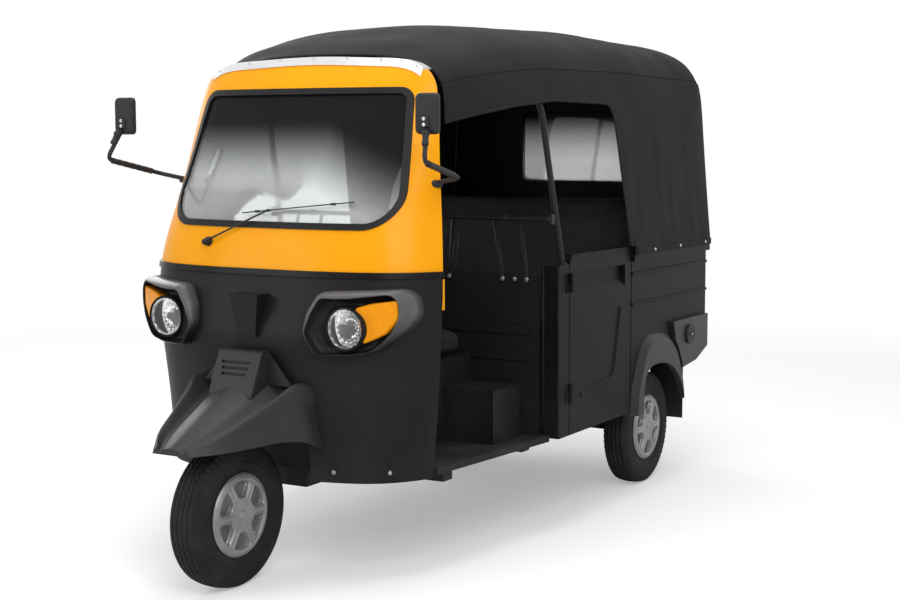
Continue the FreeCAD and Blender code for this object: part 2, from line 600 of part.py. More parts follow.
def make_badge():
    top, low = size("badgeTop"), size("badgeBottom")
    wide, narrow = size("badgeTopHalf"), size("badgeBottomHalf")
    back = size("cabLowTrail")
    outline = front_prism([(-narrow, low), (narrow, low), (wide, top), (-wide, top)], back)
    side = [(back, low), (size("badgeBottomX"), low), (size("badgeTopX"), top), (back, top)]
    depth = prism([Vector(x, -wide, z) for x, z in side], Vector(0, 2 * wide, 0))
    shaped("badge_block", outside_cab(outline.common(depth)))


make_cab()
make_roof_strip()
make_lamps()
make_badge()


# the front mudguard: hollow sections from the panel forward to the tip, with a rounded hood in the
# middle and a crested wing on each side of it

guardSections = ("Root", "Back", "Mid", "Fore", "Nose", "Tip")
guardParts = ("X", "Crown", "Valley", "Crest", "Foot", "Hood", "Wing", "Half")
guardTable = {part: [size(f"guard{section}{part}") for section in guardSections] for part in guardParts}
guardSectionCount = 11
hoodTurnShare = 0.16
wingSlopeShare = 0.35


def guard_outline(place, inset, foot_run):
    crown, valley, crest, foot, hood, wing, half = (
        eased(guardTable["X"], guardTable[part], place) for part in guardParts[1:])
    hood, wing, half = hood - inset / 2, wing - inset / 3, half - inset
    crown, valley, crest, foot = crown - inset, valley - inset, crest - 3 * inset / 2, foot - foot_run
    side_z = crest - (crest - foot) * wingSlopeShare
    left = [Vector(place, 0, crown), Vector(place, hood / 2, crown - (crown - valley) * hoodTurnShare),
            Vector(place, hood, (crown + valley) / 2), Vector(place, (hood + wing) / 2, valley),
            Vector(place, wing, crest), Vector(place, (wing + half) / 2, side_z), Vector(place, half, foot)]
    right = [Vector(spot.x, -spot.y, spot.z) for spot in left[:0:-1]]
    curve = smooth_edge(right[1:] + left[:-1])
    legs = [Part.LineSegment(left[-2], left[-1]).toShape(), Part.LineSegment(left[-1], right[0]).toShape(),
            Part.LineSegment(right[0], right[1]).toShape()]
    return Part.Wire([curve] + legs)


slotCount = 3


def guard_neck():
    # the block over the hood, with its three slots, and a lower cheek on each side of it
    half, top, low = size("neckHalf"), size("neckTop"), size("neckFoot")
    back, front, foot = size("neckBackX"), size("neckFrontX"), size("neckFootX")
    side = [(back, low), (foot, low), (front, top), (back, top)]
    neck = prism([Vector(x, -half, z) for x, z in side], Vector(0, 2 * half, 0))
    neck = neck.makeFillet(size("guardWall"), [edge for edge in neck.Edges if edge.BoundBox.XMin > back])
    for row in range(slotCount):
        level = size("slotTop") - row * size("slotPitch")
        deep = front + (foot - front) * (top - level) / (top - low) - size("slotDepth")
        reach = size("slotHalf") - row * size("slotDepth") / 2
        neck = neck.cut(Part.makeBox(size("neckFootX"), 2 * reach, size("slotHeight"), Vector(deep, -reach, level)))
    wide, high, base = size("cheekHalf"), size("cheekTop"), size("cheekFoot")
    outline = [Vector(back, -wide, base), Vector(back, wide, base), Vector(back, half, high), Vector(back, -half, high)]
    cheek = prism(outline, Vector(size("cheekFrontX") - back, 0, 0))
    return neck.fuse(cheek)


def make_mudguard():
    wall = size("guardWall")
    places = evenly(guardTable["X"][0], guardTable["X"][-1], guardSectionCount)
    outer = solid_through([guard_outline(place, 0, 0) for place in places])
    inner = solid_through([guard_outline(place, wall, wall) for place in places[:-1]])
    backing = Part.makeBox(size("neckBackX"), 2 * size("cheekHalf"), size("cheekTop") - size("cheekFoot"),
                           Vector(0, -size("cheekHalf"), size("cheekFoot")))
    shell = outer.fuse(guard_neck().cut(backing)).cut(inner)
    shaped("front_mudguard", max(outside_cab(shell).Solids, key=lambda piece: piece.Volume))


# chassis, floor and engine

def make_chassis():
    depth = ("floorBottom - outriggerDepth", "floorBottom")
    backbone = block("backbone", ("backboneRear", "backboneFront"), ("-backboneHalf", "backboneHalf"),
                     ("frameBottom", "floorBottom"))
    arms = []
    for place in ("front", "middle", "rear"):
        centre = place + "OutriggerX"
        along = (centre + " - outriggerWidth / 2", centre + " + outriggerWidth / 2")
        arms.append(block(place + "Outrigger", along, ("-outriggerHalf", "outriggerHalf"), depth))
    plate = block("towPlate", ("backboneRear - towLength", "backboneRear + overrun"),
                  ("-towThick / 2", "towThick / 2"), ("frameBottom", "floorBottom"))
    centre = ("backboneRear - towLength / 2", "-towThick", "frameBottom / 2 + floorBottom / 2")
    hole = rod("towHole", Vector(0, 1, 0), centre, "towRadius", "2 * towThick")
    fused("chassis_frame", cut("towEye", fused("spine", backbone, plate), hole), *arms)

    half_floor = [("doorRear", "sillHalfRear - doorGap"), ("fenceRear - fitGap", "sillHalfRear - doorGap"),
                  ("fenceRear - fitGap", "bodyHalf - fenceDepth - fitGap"),
                  ("fenceFront + fitGap", "bodyHalf - fenceDepth - fitGap"), ("fenceFront + fitGap", "sillHalfRear"),
                  ("sillFrontX", "sillHalfFront"), ("sillFrontX", "cabLowHalf - cabWall - overrun"),
                  ("floorNoseX - outriggerWidth", "cabLowHalf - archHalf / 2"), ("floorNoseX", "archHalf")]
    floor = padded_outline("floorPlate", "XY_Plane", mirror_corners(half_floor),
                           "floorTop - floorBottom", "floorBottom")
    slot = block("floorSlot", ("archRear", "floorNoseX + overrun"), ("-archHalf", "archHalf"),
                 ("floorBottom - overrun", "archTop"))
    housing = block("housingOuter", ("archRear - housingWall", "housingFront"),
                    ("-archHalf - housingWall", "archHalf + housingWall"), ("floorTop", "archTop + housingWall"))
    whole = fused("floorWhole", floor, housing)
    shaft = shaped("columnSlot", column_hole())
    nose_room = shaped("noseRoom", cab_solid(size("cabWall") + size("panelGap"), size("cabBackRun")))
    rear_room = block("rearRoom", ("doorRear - overrun", "cabLowTrail"), ("-bodyHalf", "bodyHalf"), ("0", "archTop"))
    pan = doc.addObject("Part::Common", "floor_pan")
    pan.Base = cut("floorHollow", whole, slot, shaft)
    pan.Tool = fused("floorRoom", nose_room, rear_room)

    block("engine_block", ("engineRear", "engineFront"), ("-engineHalf", "engineHalf"),
          ("floorBottom + fitGap", "engineTop")).Label = "engine_block"


# seats and partition

def make_seats():
    base = block("driverBox", ("seatRear", "seatFront"), ("-seatHalf", "seatHalf"), ("floorTop + fitGap", "seatBaseTop"))
    side = block("sideBox", ("seatRear", "boxFront"), ("seatHalf - overrun", "boxSideHalf"),
                 ("floorTop + fitGap", "boxTop"))
    fused("driver_seat_base", base, side)
    cushion = block("driverCushion", ("seatRear", "seatFront"), ("-seatHalf", "seatHalf"),
                    ("seatBaseTop + fitGap", "seatBaseTop + seatPad"))
    back = block("driverBack", ("partitionX + partitionThick + fitGap", "partitionX + partitionThick + backThick"),
                 ("-backHalf", "backHalf"), ("backBottom", "backTop"))
    seat = doc.addObject("Part::Compound", "driver_seat")
    seat.Links = [cushion, back]

    panel = block("partitionPanel", ("partitionX", "partitionX + partitionThick"),
                  ("-partitionHalf", "partitionHalf"), ("floorTop + fitGap", "partitionTop"))
    face = ("partitionX + partitionThick - fitGap", "partitionX + partitionThick + ribDepth")
    ridges = [block(level + "Ridge", face, ("-partitionHalf + ribHeight", "partitionHalf - ribHeight"),
                    (level, level + " + ribHeight")) for level in ("ribLow", "ribHigh")]
    fused("partition", panel, *ridges)

    spread, low, high = size("barSpread"), size("partitionTop"), size("barTop")
    middle = size("partitionX") + size("partitionThick") / 2
    radius = size("barTube")
    frame = bent_tube([Vector(middle, -spread, low), Vector(middle, -spread, high), Vector(middle, spread, high),
                       Vector(middle, spread, low)], radius, 4 * radius)
    for out in (-spread / 2, spread / 2):
        frame = frame.fuse(Part.makeCylinder(radius, high - low, Vector(middle, out, low)))
    shaped("partition_frame", frame)

    named("bench_base", block("benchBox", ("benchRear", "benchFront"), ("-benchWell", "benchWell"),
                              ("floorTop + fitGap", "benchBaseTop")))
    bench_pad = block("benchCushion", ("benchRear + benchLean", "benchFront"), ("-benchHalf", "benchHalf"),
                      ("benchBaseTop + fitGap", "benchBaseTop + benchPad"))
    lean = [("benchRear + benchLean - fitGap", "benchBaseTop + fitGap"), ("benchRear - fitGap", "benchBackTop"),
            ("benchRear - benchBackThick", "benchBackTop"),
            ("benchRear + benchLean - benchBackThick", "benchBaseTop + fitGap")]
    bench_back = padded_outline("benchBack", "XZ_Plane", lean, "2 * benchHalf", "-benchHalf")
    bench = doc.addObject("Part::Compound", "bench_seat")
    bench.Links = [bench_pad, bench_back]


# rear body: fence posts, sides, back, deck and hatch

def lid_hinges(owner, way):
    # the knuckles of the rear lid, the panel's outside the lid's, each with a leaf up or down
    halves = []
    pin = ("sideRear - lidPinBehind", "hatchTop + lidPinUp")
    ends = (pin[1], pin[1] + " + lidLeaf") if way > 0 else (pin[1] + " - lidLeaf", pin[1])
    for side in (1, -1):
        out = "lidPinSide + knuckleGap / 2" if way > 0 else "lidPinSide - knuckleGap / 2 - hingeLength"
        start = out if side > 0 else f"-({out}) - hingeLength"
        name = owner + ("Left" if side > 0 else "Right")
        halves.append(rod(name + "Knuckle", Vector(0, 1, 0), (pin[0], start, pin[1]), "lidPinRadius", "hingeLength"))
        halves.append(block(name + "Leaf", ("sideRear - leafThick", "sideRear + fitGap" if way > 0 else "sideRear"),
                            (start, start + " + hingeLength"), ends))
    return halves


def hinge_halves(owner, leaf_end, row):
    # the knuckles and leaves that a post or a door carries, one above the other on the hinge line
    halves = []
    for place in ("hingeLow", "hingeHigh"):
        start = place if row == 0 else place + " + hingeLength + knuckleGap"
        ends = ("hingeX", leaf_end + " + leafReach") if row == 0 else (leaf_end + " - leafReach", "hingeX")
        halves.append(rod(owner + place + "Knuckle", Vector(0, 0, 1), ("hingeX", "bodyHalf + hingeOut", start),
                          "hingeRadius", "hingeLength"))
        halves.append(block(owner + place + "Leaf", ends, ("bodyHalf - fitGap", "bodyHalf + leafThick"),
                            (start, start + " + hingeLength")))
    return halves


def make_rear_body():
    post = block("fencePost", ("fenceRear", "fenceFront"), ("bodyHalf - fenceDepth", "bodyHalf"),
                 ("fenceBottom", "fenceTop"))
    groove = block("fenceGroove", ("fenceFront - grooveDepth", "fenceFront + overrun"),
                   ("bodyHalf - grooveIn - grooveWidth", "bodyHalf - grooveIn"), ("grooveBottom", "grooveTop"))
    pair("fence_posts", fused("fenceWhole", cut("fenceCut", post, groove), *hinge_halves("fence", "hingeX + knuckleGap", 0)))

    half_rim = "bodyTop"
    outline = [("sideFront", "fenceBottom"), ("sideFront", half_rim), ("sideRear", half_rim),
               ("sideRear", "tailCornerZ"), ("tailHeelX", "tailHeelZ"), ("tailFootX", "tailFoot"),
               ("tailFootX", "fenceBottom")]
    wall = padded_outline("sideWall", "XZ_Plane", outline, "bodyWall", "-bodyHalf")
    arch = rod("sideArch", Vector(0, -1, 0), ("archCentreX", "bodyHalf + overrun", "tyreRadius"),
               "archRadius", "bodyWall + 2 * overrun")
    rim = block("sideRim", ("sideRear - rimReach", "sideFront"), ("bodyHalf - bodyWall", "bodyHalf + rimReach"),
                ("bodyTop - rimHeight", "bodyTop + rimHeight - fitGap"))
    beads = []
    for height in ("beadLow", "beadHigh"):
        beads.append(rod(height + "Rib", Vector(-1, 0, 0), ("sideFront", "bodyHalf", height), "beadRadius",
                         "sideFront - sideRear"))
    side = fused("sideWhole", cut("sideCut", wall, arch), rim, *beads)
    pair("body_sides", side)

    corner = [("tailFootX", "tailFoot"), ("tailHeelX", "tailHeelZ"), ("tailRearX", "tailCornerZ"),
              ("tailRearX", "tailTop"), ("tailTopX", "tailTop")]
    whole = padded_outline("tailWhole", "XZ_Plane", corner, "tailPlate", "-bodyHalf - fitGap - tailPlate")
    notch = Part.Face(fender_wire(fenderShares, size("bodyHalf") - size("overrun"), -size("tailGap")))
    notch = shaped("tailNotch", notch.extrude(Vector(0, size("fenderProud") + 2 * size("overrun"), 0)))
    plate = cut("tailPlateLeft", whole, notch)
    cap = rod("fillerCap", Vector(0, -1, 0), ("fillerX", "bodyHalf + tailPlate + fillerProud", "fillerZ"),
              "fillerRadius", "tailPlate")
    corners = doc.addObject("Part::Compound", "tail_corners")
    corners.Links = [fused("tailLeft", plate, cap), across("tailRight", plate)]

    back = block("backWall", ("sideRear", "sideRear + bodyWall"),
                 ("-bodyHalf + bodyWall + fitGap", "bodyHalf - bodyWall - fitGap"), ("tailHeelZ", "bodyTop"))
    opening = block("hatchOpening", ("sideRear - overrun", "sideRear + bodyWall + overrun"),
                    ("-hatchHalf - doorGap", "hatchHalf + doorGap"), ("hatchBottom - overrun", "hatchTop + hatchGap"))
    deck = block("deck", ("sideRear + bodyWall - fitGap", "benchRear - benchBackThick - overrun"),
                 ("-bodyHalf + bodyWall + fitGap", "bodyHalf - bodyWall - fitGap"),
                 ("deckHeight", "deckHeight + deckThick"))
    fused("rear_panel", cut("backCut", back, opening), deck, *lid_hinges("panel", 1))

    hatch = block("hatchPlate", ("sideRear", "sideRear + hatchThick"), ("-hatchHalf", "hatchHalf"),
                  ("hatchBottom", "hatchTop"))
    holes = [rod(side + "PlateHole", Vector(1, 0, 0),
                 ("sideRear - overrun", sign + "plateSpacing / 2", "plateHeight"), "plateHoleRadius", "hatchThick + 2 * overrun")
             for side, sign in (("left", ""), ("right", "-"))]
    fused("rear_hatch", cut("hatchCut", hatch, *holes), *lid_hinges("lid", -1))


def make_doors():
    outline = [("doorRear", "doorBottom"), ("doorFront", "doorBottom"), ("doorFront", "doorTop - doorCut"),
               ("doorFront - doorCut", "doorTop"), ("doorRear", "doorTop")]
    plate = padded_outline("doorPlate", "XZ_Plane", outline, "doorThick", "-bodyHalf")
    scoop = [("bodyHalf + overrun", "recessBottom"), ("bodyHalf", "recessBottom"),
             ("bodyHalf - recessDepth", "recessShelf"), ("bodyHalf - recessDepth", "recessTop"),
             ("bodyHalf + overrun", "recessTop")]
    recess = padded_outline("doorRecess", "YZ_Plane", scoop, "recessFront - recessRear", "recessRear")
    out = size("bodyHalf") - size("ribSink")
    spots = [Vector(size("rib" + place + "X"), out, size("rib" + place + "Z")) for place in ("Top", "Knee", "End")]
    rib = bent_tube(spots, size("ribRadius"), size("ribBend"))
    for spot in (spots[0], spots[-1]):
        rib = rib.fuse(Part.makeSphere(size("ribRadius"), spot))
    hidden = Part.makeBox(size("toolReach"), size("toolReach"), size("toolReach"),
                          Vector(-size("toolReach"), out - size("toolReach"), 0))
    rib = shaped("doorRib", rib.cut(hidden))
    left = fused("door_left", cut("doorCut", plate, recess), rib, *hinge_halves("door", "hingeX - knuckleGap", 1))
    across("door_right", left)


# fenders, flaps, canopy

fenderShares = ((1, 0), (0.985, 0.27), (0.85, 0.58), (0.62, 0.9), (0.45, 0.985), (0.1, 1), (-0.27, 0.965),
                (-0.56, 0.83), (-0.76, 0.6), (-0.92, 0.3), (-1, 0))
wheelOpeningShares = ((0.7, 0), (0.69, 0.24), (0.63, 0.47), (0.5, 0.57), (0.26, 0.61), (0, 0.6), (-0.28, 0.55),
                      (-0.55, 0.42), (-0.78, 0.2), (-0.9, 0))


def fender_wire(shares, out, inset):
    # a smooth arch over the wheel, closed along its foot
    centre, half = size("fenderCentreX"), size("fenderHalf") - inset
    foot, rise = size("fenderFoot"), size("fenderTop") - size("fenderFoot") - inset
    points = [Vector(centre + half * along, out, foot + rise * up) for along, up in shares]
    return Part.Wire([smooth_edge(points), Part.LineSegment(points[-1], points[0]).toShape()])


def make_fenders():
    start, end = size("bodyHalf") + size("fitGap"), size("fenderOut")
    flare = solid_through([fender_wire(fenderShares, start, 0), fender_wire(fenderShares, end, size("fenderBevel"))])
    inside = Part.Face(fender_wire(wheelOpeningShares, start - size("overrun"), 0))
    inside = inside.extrude(Vector(0, end - start + 2 * size("overrun"), 0))
    low = inside.copy()
    low.translate(Vector(0, 0, -size("overrun")))
    shaped("rear_fenders", both_sides(flare.cut(inside.fuse(low))))

    flap = block("flapSheet", ("flapX", "flapX + flapThick"), ("flapInner", "flapOuter"),
                 ("flapBottom", "tailHeelZ + flapHold"))
    pair("mudflaps", flap)


canopySections = ("Tail", "Aft", "Mid", "Post", "Fore", "Cab", "Lip")
canopyTable = {part: [size(f"roof{section}{part}") for section in canopySections]
               for part in ("X", "Crown", "Eave", "Half", "Flare")}
canopyFrontCount = 10
tailCount = 5
roofOutShares = (0, 0.36, 0.7, 0.9, 0.985, 1)
roofUpShares = (1, 0.975, 0.86, 0.64, 0.3, 0)


def canopy_outline(place, turn, inset, foot_run):
    # one section across the canopy; past the last section the rear edge turns down by an angle
    crown, eave, half, flare = (
        eased(canopyTable["X"], canopyTable[part], place) for part in ("Crown", "Eave", "Half", "Flare"))
    fall = 1 - math.cos(turn)
    crown, eave = crown - size("tailDrop") * fall, eave - size("tailDrop") * fall / 2
    half, flare = half - size("tailTaper") * fall, flare - size("tailTuck") * fall
    place = place - size("tailLength") * math.sin(turn)
    half, flare, crown = half - inset, flare - inset, crown - inset
    foot = size("skirtBottom") - foot_run
    left = [Vector(place, half * out, eave + (crown - eave) * up) for out, up in zip(roofOutShares, roofUpShares)]
    right = [Vector(spot.x, -spot.y, spot.z) for spot in left[:0:-1]]
    corners = [left[-1], Vector(place, flare, foot), Vector(place, -flare, foot), right[0]]
    sides = [Part.LineSegment(*ends).toShape() for ends in zip(corners, corners[1:])]
    return Part.Wire([smooth_edge(right + left)] + sides)


# the side opening runs from the cab's edge to the rear of the doorway, and over the door's corner

def side_opening():
    names = ("Front", "Brow", "Mid", "Post", "Top", "Corner", "Rear")
    points = [(size("hole" + name + "X"), size("hole" + name + "Z")) for name in names]
    low = size("skirtBottom") - size("overrun")
    behind = size("sideFront")
    points = [(points[0][0] + size("toolReach"), points[0][1])] + points + [(behind, points[-1][1]), (behind, low)]
    points = points + [(points[0][0], low)]
    reach = size("toolReach")
    return prism([Vector(x, -reach, z) for x, z in points], Vector(0, 2 * reach, 0))


def window_tool(inset):
    half, low, high = size("windowHalf") - inset, size("windowLow") + inset, size("windowTop") - inset
    corners = [(-half, low), (half, low), (half, high), (-half, high)]
    radii = [size("windowRadius")] * 4
    start = size("roofTailX") - size("tailLength") - size("overrun")
    depth = size("tailLength")
    return rounded_prism(corners, radii, lambda y, z: Vector(start, y, z), Vector(depth, 0, 0))


def make_canopy():
    thick = size("clothThick")
    front_x, rear_x = size("roofLipX"), size("roofTailX")
    stations = [(place, 0) for place in evenly(front_x, rear_x, canopyFrontCount)]
    stations += [(rear_x, math.pi / 2 * step / tailCount) for step in range(1, tailCount + 1)]
    outer = solid_through([canopy_outline(*station, 0, 0) for station in stations])
    inner = solid_through([canopy_outline(*station, thick, thick) for station in stations])
    inner.translate(Vector(thick, 0, 0))
    front = canopy_outline(front_x, 0, thick, thick)
    mouth = Part.Face(front).extrude(Vector(size("toolReach"), 0, 0))
    shell = outer.cut(inner).cut(mouth).cut(side_opening()).cut(window_tool(0))
    shell = shell.cut(cab_solid(-size("panelGap")).common(crown_prism(-size("panelGap"))))
    biggest = max(shell.Solids, key=lambda piece: piece.Volume)
    shaped("canopy", biggest)


def make_window_film():
    middle = size("roofTailX") - size("tailLength") + size("clothThick") / 2
    film = window_tool(size("fitGap"))
    place = Part.makeBox(size("filmThick"), 2 * size("windowHalf"), size("windowTop"),
                         Vector(middle, -size("windowHalf"), 0))
    shaped("rear_window", film.common(place))


def hoop(foot_x, top_x, eave_half):
    # an inverted U of tube from one side rail over to the other
    seat = size("fenceTop") + size("fitGap")
    foot, eave = seat + size("footPlate") / 2, size("hoopEave")
    crown = size("hoopCrown")
    half = size("hoopFootHalf")
    points = [Vector(foot_x, -half, foot), Vector(top_x, -eave_half, eave), Vector(top_x, 0, crown),
              Vector(top_x, eave_half, eave), Vector(foot_x, half, foot)]
    tube = bent_tube(points, size("hoopRadius"), size("hoopBend"))
    for side in (-half, half):
        tube = tube.fuse(Part.makeCylinder(size("footRadius"), size("footPlate"), Vector(foot_x, side, seat)))
    return tube


def make_canopy_frame():
    eave_half = size("hoopEaveHalf")
    whole = hoop(size("hoopFrontFootX"), size("hoopFrontTopX"), eave_half)
    for place in ("hoopMidX", "hoopRearX"):
        whole = whole.fuse(hoop(size(place), size(place), eave_half))
    shaped("canopy_frame", whole)


# dashboard, mirrors, wiper and rear fittings

def make_dashboard():
    room = cab_solid(size("cabWall") + size("panelGap"), size("cabBackRun"))
    rear, low, high, half = size("dashRear"), size("dashBottom"), size("dashTop"), size("dashHalf")
    shelf = Part.makeBox(size("toolReach"), 2 * half, high - low, Vector(rear, -half, low))
    shaped("dashboard", shelf.common(room))


def make_mirrors():
    base, bend, elbow, head = (Vector(*(size(f"mirror{place}{axis}") for axis in "XYZ"))
                               for place in ("Base", "Bend", "Elbow", "Head"))
    arm = bent_tube([base, bend, elbow, head], size("mirrorTube"), size("mirrorTurn"))
    depth, wide, tall = size("mirrorDepth"), size("mirrorWidth"), size("mirrorHeight")
    corner = head + Vector(-depth / 2, -wide / 2, -tall / 2)
    glass = Part.makeBox(depth, wide, tall, corner)
    glass = glass.makeFillet(depth / 3, glass.Edges)
    shaped("mirrors", both_sides(outside_cab(arm.fuse(glass))))


def cab_front_at(out, up):
    # the outer surface of the cab where a line along X meets it
    line = Part.LineSegment(Vector(size("dashRear"), out, up), Vector(size("toolReach"), out, up)).toShape()
    inside = cabOutside.common(line)
    return inside.BoundBox.XMax


def over_screen(start, end, radius, stand):
    # a thin rod that follows the screen at a constant stand-off
    steps = 4
    places = [start + (end - start) * (step / steps) for step in range(steps + 1)]
    spots = [Vector(cab_front_at(place.y, place.z) + stand, place.y, place.z) for place in places]
    return bent_tube(spots, radius, size("bladeBend"))


def make_wiper():
    high, low, radius = size("armStand"), size("bladeStand"), size("wiperTube")
    spots = {name: Vector(0, size(name + "Y"), size(name + "Z"))
             for name in ("wiperPivot", "wiperArm", "bladeLeft", "bladeRight")}

    def post(name, thickness):
        # a short pin along X from the surface out past the arm
        spot = spots[name] + Vector(cab_front_at(spots[name].y, spots[name].z), 0, 0)
        return Part.makeCylinder(thickness, high + 2 * radius, spot, Vector(1, 0, 0))

    hub = post("wiperPivot", size("wiperHub"))
    yoke = post("wiperArm", radius + size("panelGap")).cut(cab_solid(-low, size("cabBackRun")))
    arm = over_screen(spots["wiperPivot"], spots["wiperArm"], radius, high)
    blade = over_screen(spots["bladeRight"], spots["bladeLeft"], radius, low)
    shaped("wiper", outside_cab(hub.fuse(arm).fuse(yoke).fuse(blade)))


def make_rear_fittings():
    lamp = rod("tailLamp", Vector(-1, 0, 0), ("sideRear - fitGap", "tailLampSide", "tailLampZ"),
               "tailLampRadius", "tailLampDepth")
    pair("tail_lamps", lamp)


def make_rear_arms():
    # a swinging arm from the chassis to each rear axle, with the shaft that drives the wheel
    side, thick, tall = size("armSide"), size("armThick"), size("armHeight")
    pivot = Vector(size("armPivotX"), side, size("armPivotZ"))
    axle = Vector(size("rearAxleX"), side, size("tyreRadius"))
    slope = (pivot - axle).normalize()
    rise = Vector(-slope.z, 0, slope.x) * (tall / 2)
    beam = prism([axle - rise, pivot - rise, pivot + rise, axle + rise], Vector(0, thick, 0))
    eye = Part.makeCylinder(tall / 2, thick, axle, Vector(0, 1, 0))
    radius = size("axleRadius") - size("runningGap")
    start = size("engineHalf") + size("fitGap")
    end = size("rearTrackHalf") + size("tyreWidth") / 2 - size("rimLip")
    shaft = Part.makeCylinder(radius, end - start, Vector(axle.x, start, axle.z), Vector(0, 1, 0))
    arm = beam.fuse(eye).fuse(shaft)
    wide = size("outriggerWidth") / 2 + size("fitGap")
    bracket = Part.makeBox(2 * wide, size("bodyHalf"), size("fenceTop"), Vector(size("rearOutriggerX") - wide, 0, 0))
    shaped("rear_arms", both_sides(max(arm.cut(bracket).Solids, key=lambda piece: piece.Volume)))


# steering and wheels

def make_steering():
    foot, top = column_point(size("columnFoot")), column_point(size("columnTop"))
    column = Part.makeCylinder(size("columnRadius"), (top - foot).Length, foot, column_direction())
    centre_z, side = size("tyreRadius"), -size("forkSide")
    radius = size("forkRadius")
    axle = Vector(size("frontAxleX"), side, centre_z)
    shoulder = Vector(foot.x, 0, foot.z)
    knee = Vector(foot.x, side, foot.z - size("forkDrop"))
    leg = bent_tube([shoulder + column_direction() * radius, shoulder - column_direction() * size("forkDrop"), knee, axle], radius,
                    size("forkDrop"))
    pin_end = size("tyreWidth") / 2 - size("rimLip")
    pin = Part.makeCylinder(size("axleRadius") - size("runningGap"), pin_end - side, axle, Vector(0, 1, 0))
    shaped("front_fork", column.fuse(leg).fuse(pin))

    half, back, rise = size("barHalf"), size("barBack"), size("barRise")
    grip, radius = size("gripLength"), size("barRadius")
    middle = top + column_direction() * (radius + size("fitGap"))
    left = middle + Vector(-back, half, rise)
    inner = middle + Vector(0, size("cowlWidth") / 2, 0)
    points = [left, inner, Vector(inner.x, -inner.y, inner.z), Vector(left.x, -left.y, left.z)]
    bar = bent_tube(points, radius, 2 * radius)
    for end, root in ((points[0], points[1]), (points[3], points[2])):
        bar = bar.fuse(Part.makeCylinder(size("gripRadius"), grip, end, root - end))
    deep, wide, tall = size("cowlDepth"), size("cowlWidth"), size("cowlHeight")
    cowl = Part.makeBox(deep, wide, tall, Vector(middle.x + size("cowlFront") - deep, -wide / 2, top.z - radius))
    cowl = cowl.makeFillet(tall / 4, cowl.Edges)
    socket = Part.makeCylinder(size("columnRadius") + size("fitGap"), (top - foot).Length, foot, column_direction())
    shaped("handlebar", bar.fuse(cowl).cut(socket))


def tyre(name, place_x, place_y):
    half, tread = "tyreWidth / 2", "treadWidth / 2"
    profile = [(half, "rimRadius + rimFit"), (half, "tyreRadius - shoulderDrop"), (tread, "tyreRadius")]
    corners = profile + [("-(" + out + ")", up) for out, up in reversed(profile)]
    return turned(name, corners, place_x, place_y)


def turned(name, corners, place_x, place_y):
    # a body turned about its own axle line, placed at its axle
    body = doc.addObject("PartDesign::Body", name)
    body.Label = name
    sketch = outline_sketch(body, name + "Profile", "YZ_Plane", corners)
    spin = body.newObject("PartDesign::Revolution", name + "Turned")
    spin.Profile = sketch
    spin.ReferenceAxis = (sketch, ["H_Axis"])
    spin.Angle = 360
    body.setExpression("Placement.Base.x", bound(place_x))
    body.setExpression("Placement.Base.y", bound(place_y))
    body.setExpression("Placement.Base.z", bound("tyreRadius"))
    return body


def wheel_rim(name, place_x, place_y):
    edge, disc = "tyreWidth / 2", "tyreWidth / 2 - discThick"
    profile = [("-" + edge, "rimRadius - rimWall"), ("-" + edge, "rimRadius"), (edge, "rimRadius"), (edge, "hubCapRadius"), (edge + " + hubProud", "hubCapRadius - hubProud"),
               (edge + " + hubProud", "0"), ("tyreWidth / 2 - rimLip + rimFit", "0"),
               ("tyreWidth / 2 - rimLip + rimFit", "hubBore"), ("-hubLength", "hubBore"), ("-hubLength", "hubRadius"),
               (disc, "hubRadius"), (disc, "rimRadius - rimWall")]
    body = turned(name, profile, place_x, place_y)
    window = outline_sketch(body, name + "Window", "XZ_Plane", [
        ("-windowInnerHalf", "windowInner"), ("windowInnerHalf", "windowInner"),
        ("windowOuterHalf", "windowOuter"), ("-windowOuterHalf", "windowOuter")])
    doc.recompute()
    pocket = body.newObject("PartDesign::Pocket", name + "WindowCut")
    pocket.Profile = window
    pocket.Type = "ThroughAll"
    pocket.SideType = "Two sides"
    pocket.Type2 = "ThroughAll"
    around = body.newObject("PartDesign::PolarPattern", name + "Windows")
    around.Originals = [pocket]
    around.Axis = (origin_axis(body, "Y_Axis"), [""])
    around.Angle = 360
    around.Occurrences = windowCount
    body.Tip = around
    return body


def origin_axis(body, role):
    return next(item for item in body.Origin.OriginFeatures if item.Role == role)


windowCount = 6


def make_wheels():
    rear_axle = "rearAxleX"
    tyre("front_tyre", "frontAxleX", "0")
    wheel_rim("front_rim", "frontAxleX", "0")
    tyre("rear_tyre_left", rear_axle, "rearTrackHalf")
    rim_left = wheel_rim("rear_rim_left", rear_axle, "rearTrackHalf")
    tyre("rear_tyre_right", rear_axle, "-rearTrackHalf")
    across("rear_rim_right", rim_left)

make_mudguard()
make_chassis()
make_seats()
make_rear_body()
make_doors()
make_fenders()
make_canopy()
make_window_film()
make_canopy_frame()
make_dashboard()
make_mirrors()
make_wiper()
make_rear_fittings()
make_rear_arms()
make_steering()
make_wheels()

node_names = (
    "chassis_frame", "floor_pan", "engine_block", "rear_arms", "cab_lower_panel", "belt_moulding",
    "cab_upper_panel", "windscreen", "windscreen_seal", "roof_strip", "headlamp_bezels", "headlamps",
    "indicators", "badge_block", "front_mudguard", "dashboard", "mirrors", "wiper", "driver_seat_base",
    "driver_seat", "partition", "partition_frame", "bench_base", "bench_seat", "fence_posts",
    "body_sides", "tail_corners", "rear_panel", "rear_hatch", "rear_fenders", "mudflaps", "tail_lamps", "door_left",
    "door_right", "canopy", "canopy_frame", "rear_window", "handlebar", "front_fork", "front_tyre",
    "front_rim", "rear_tyre_left", "rear_rim_left", "rear_tyre_right", "rear_rim_right",
)

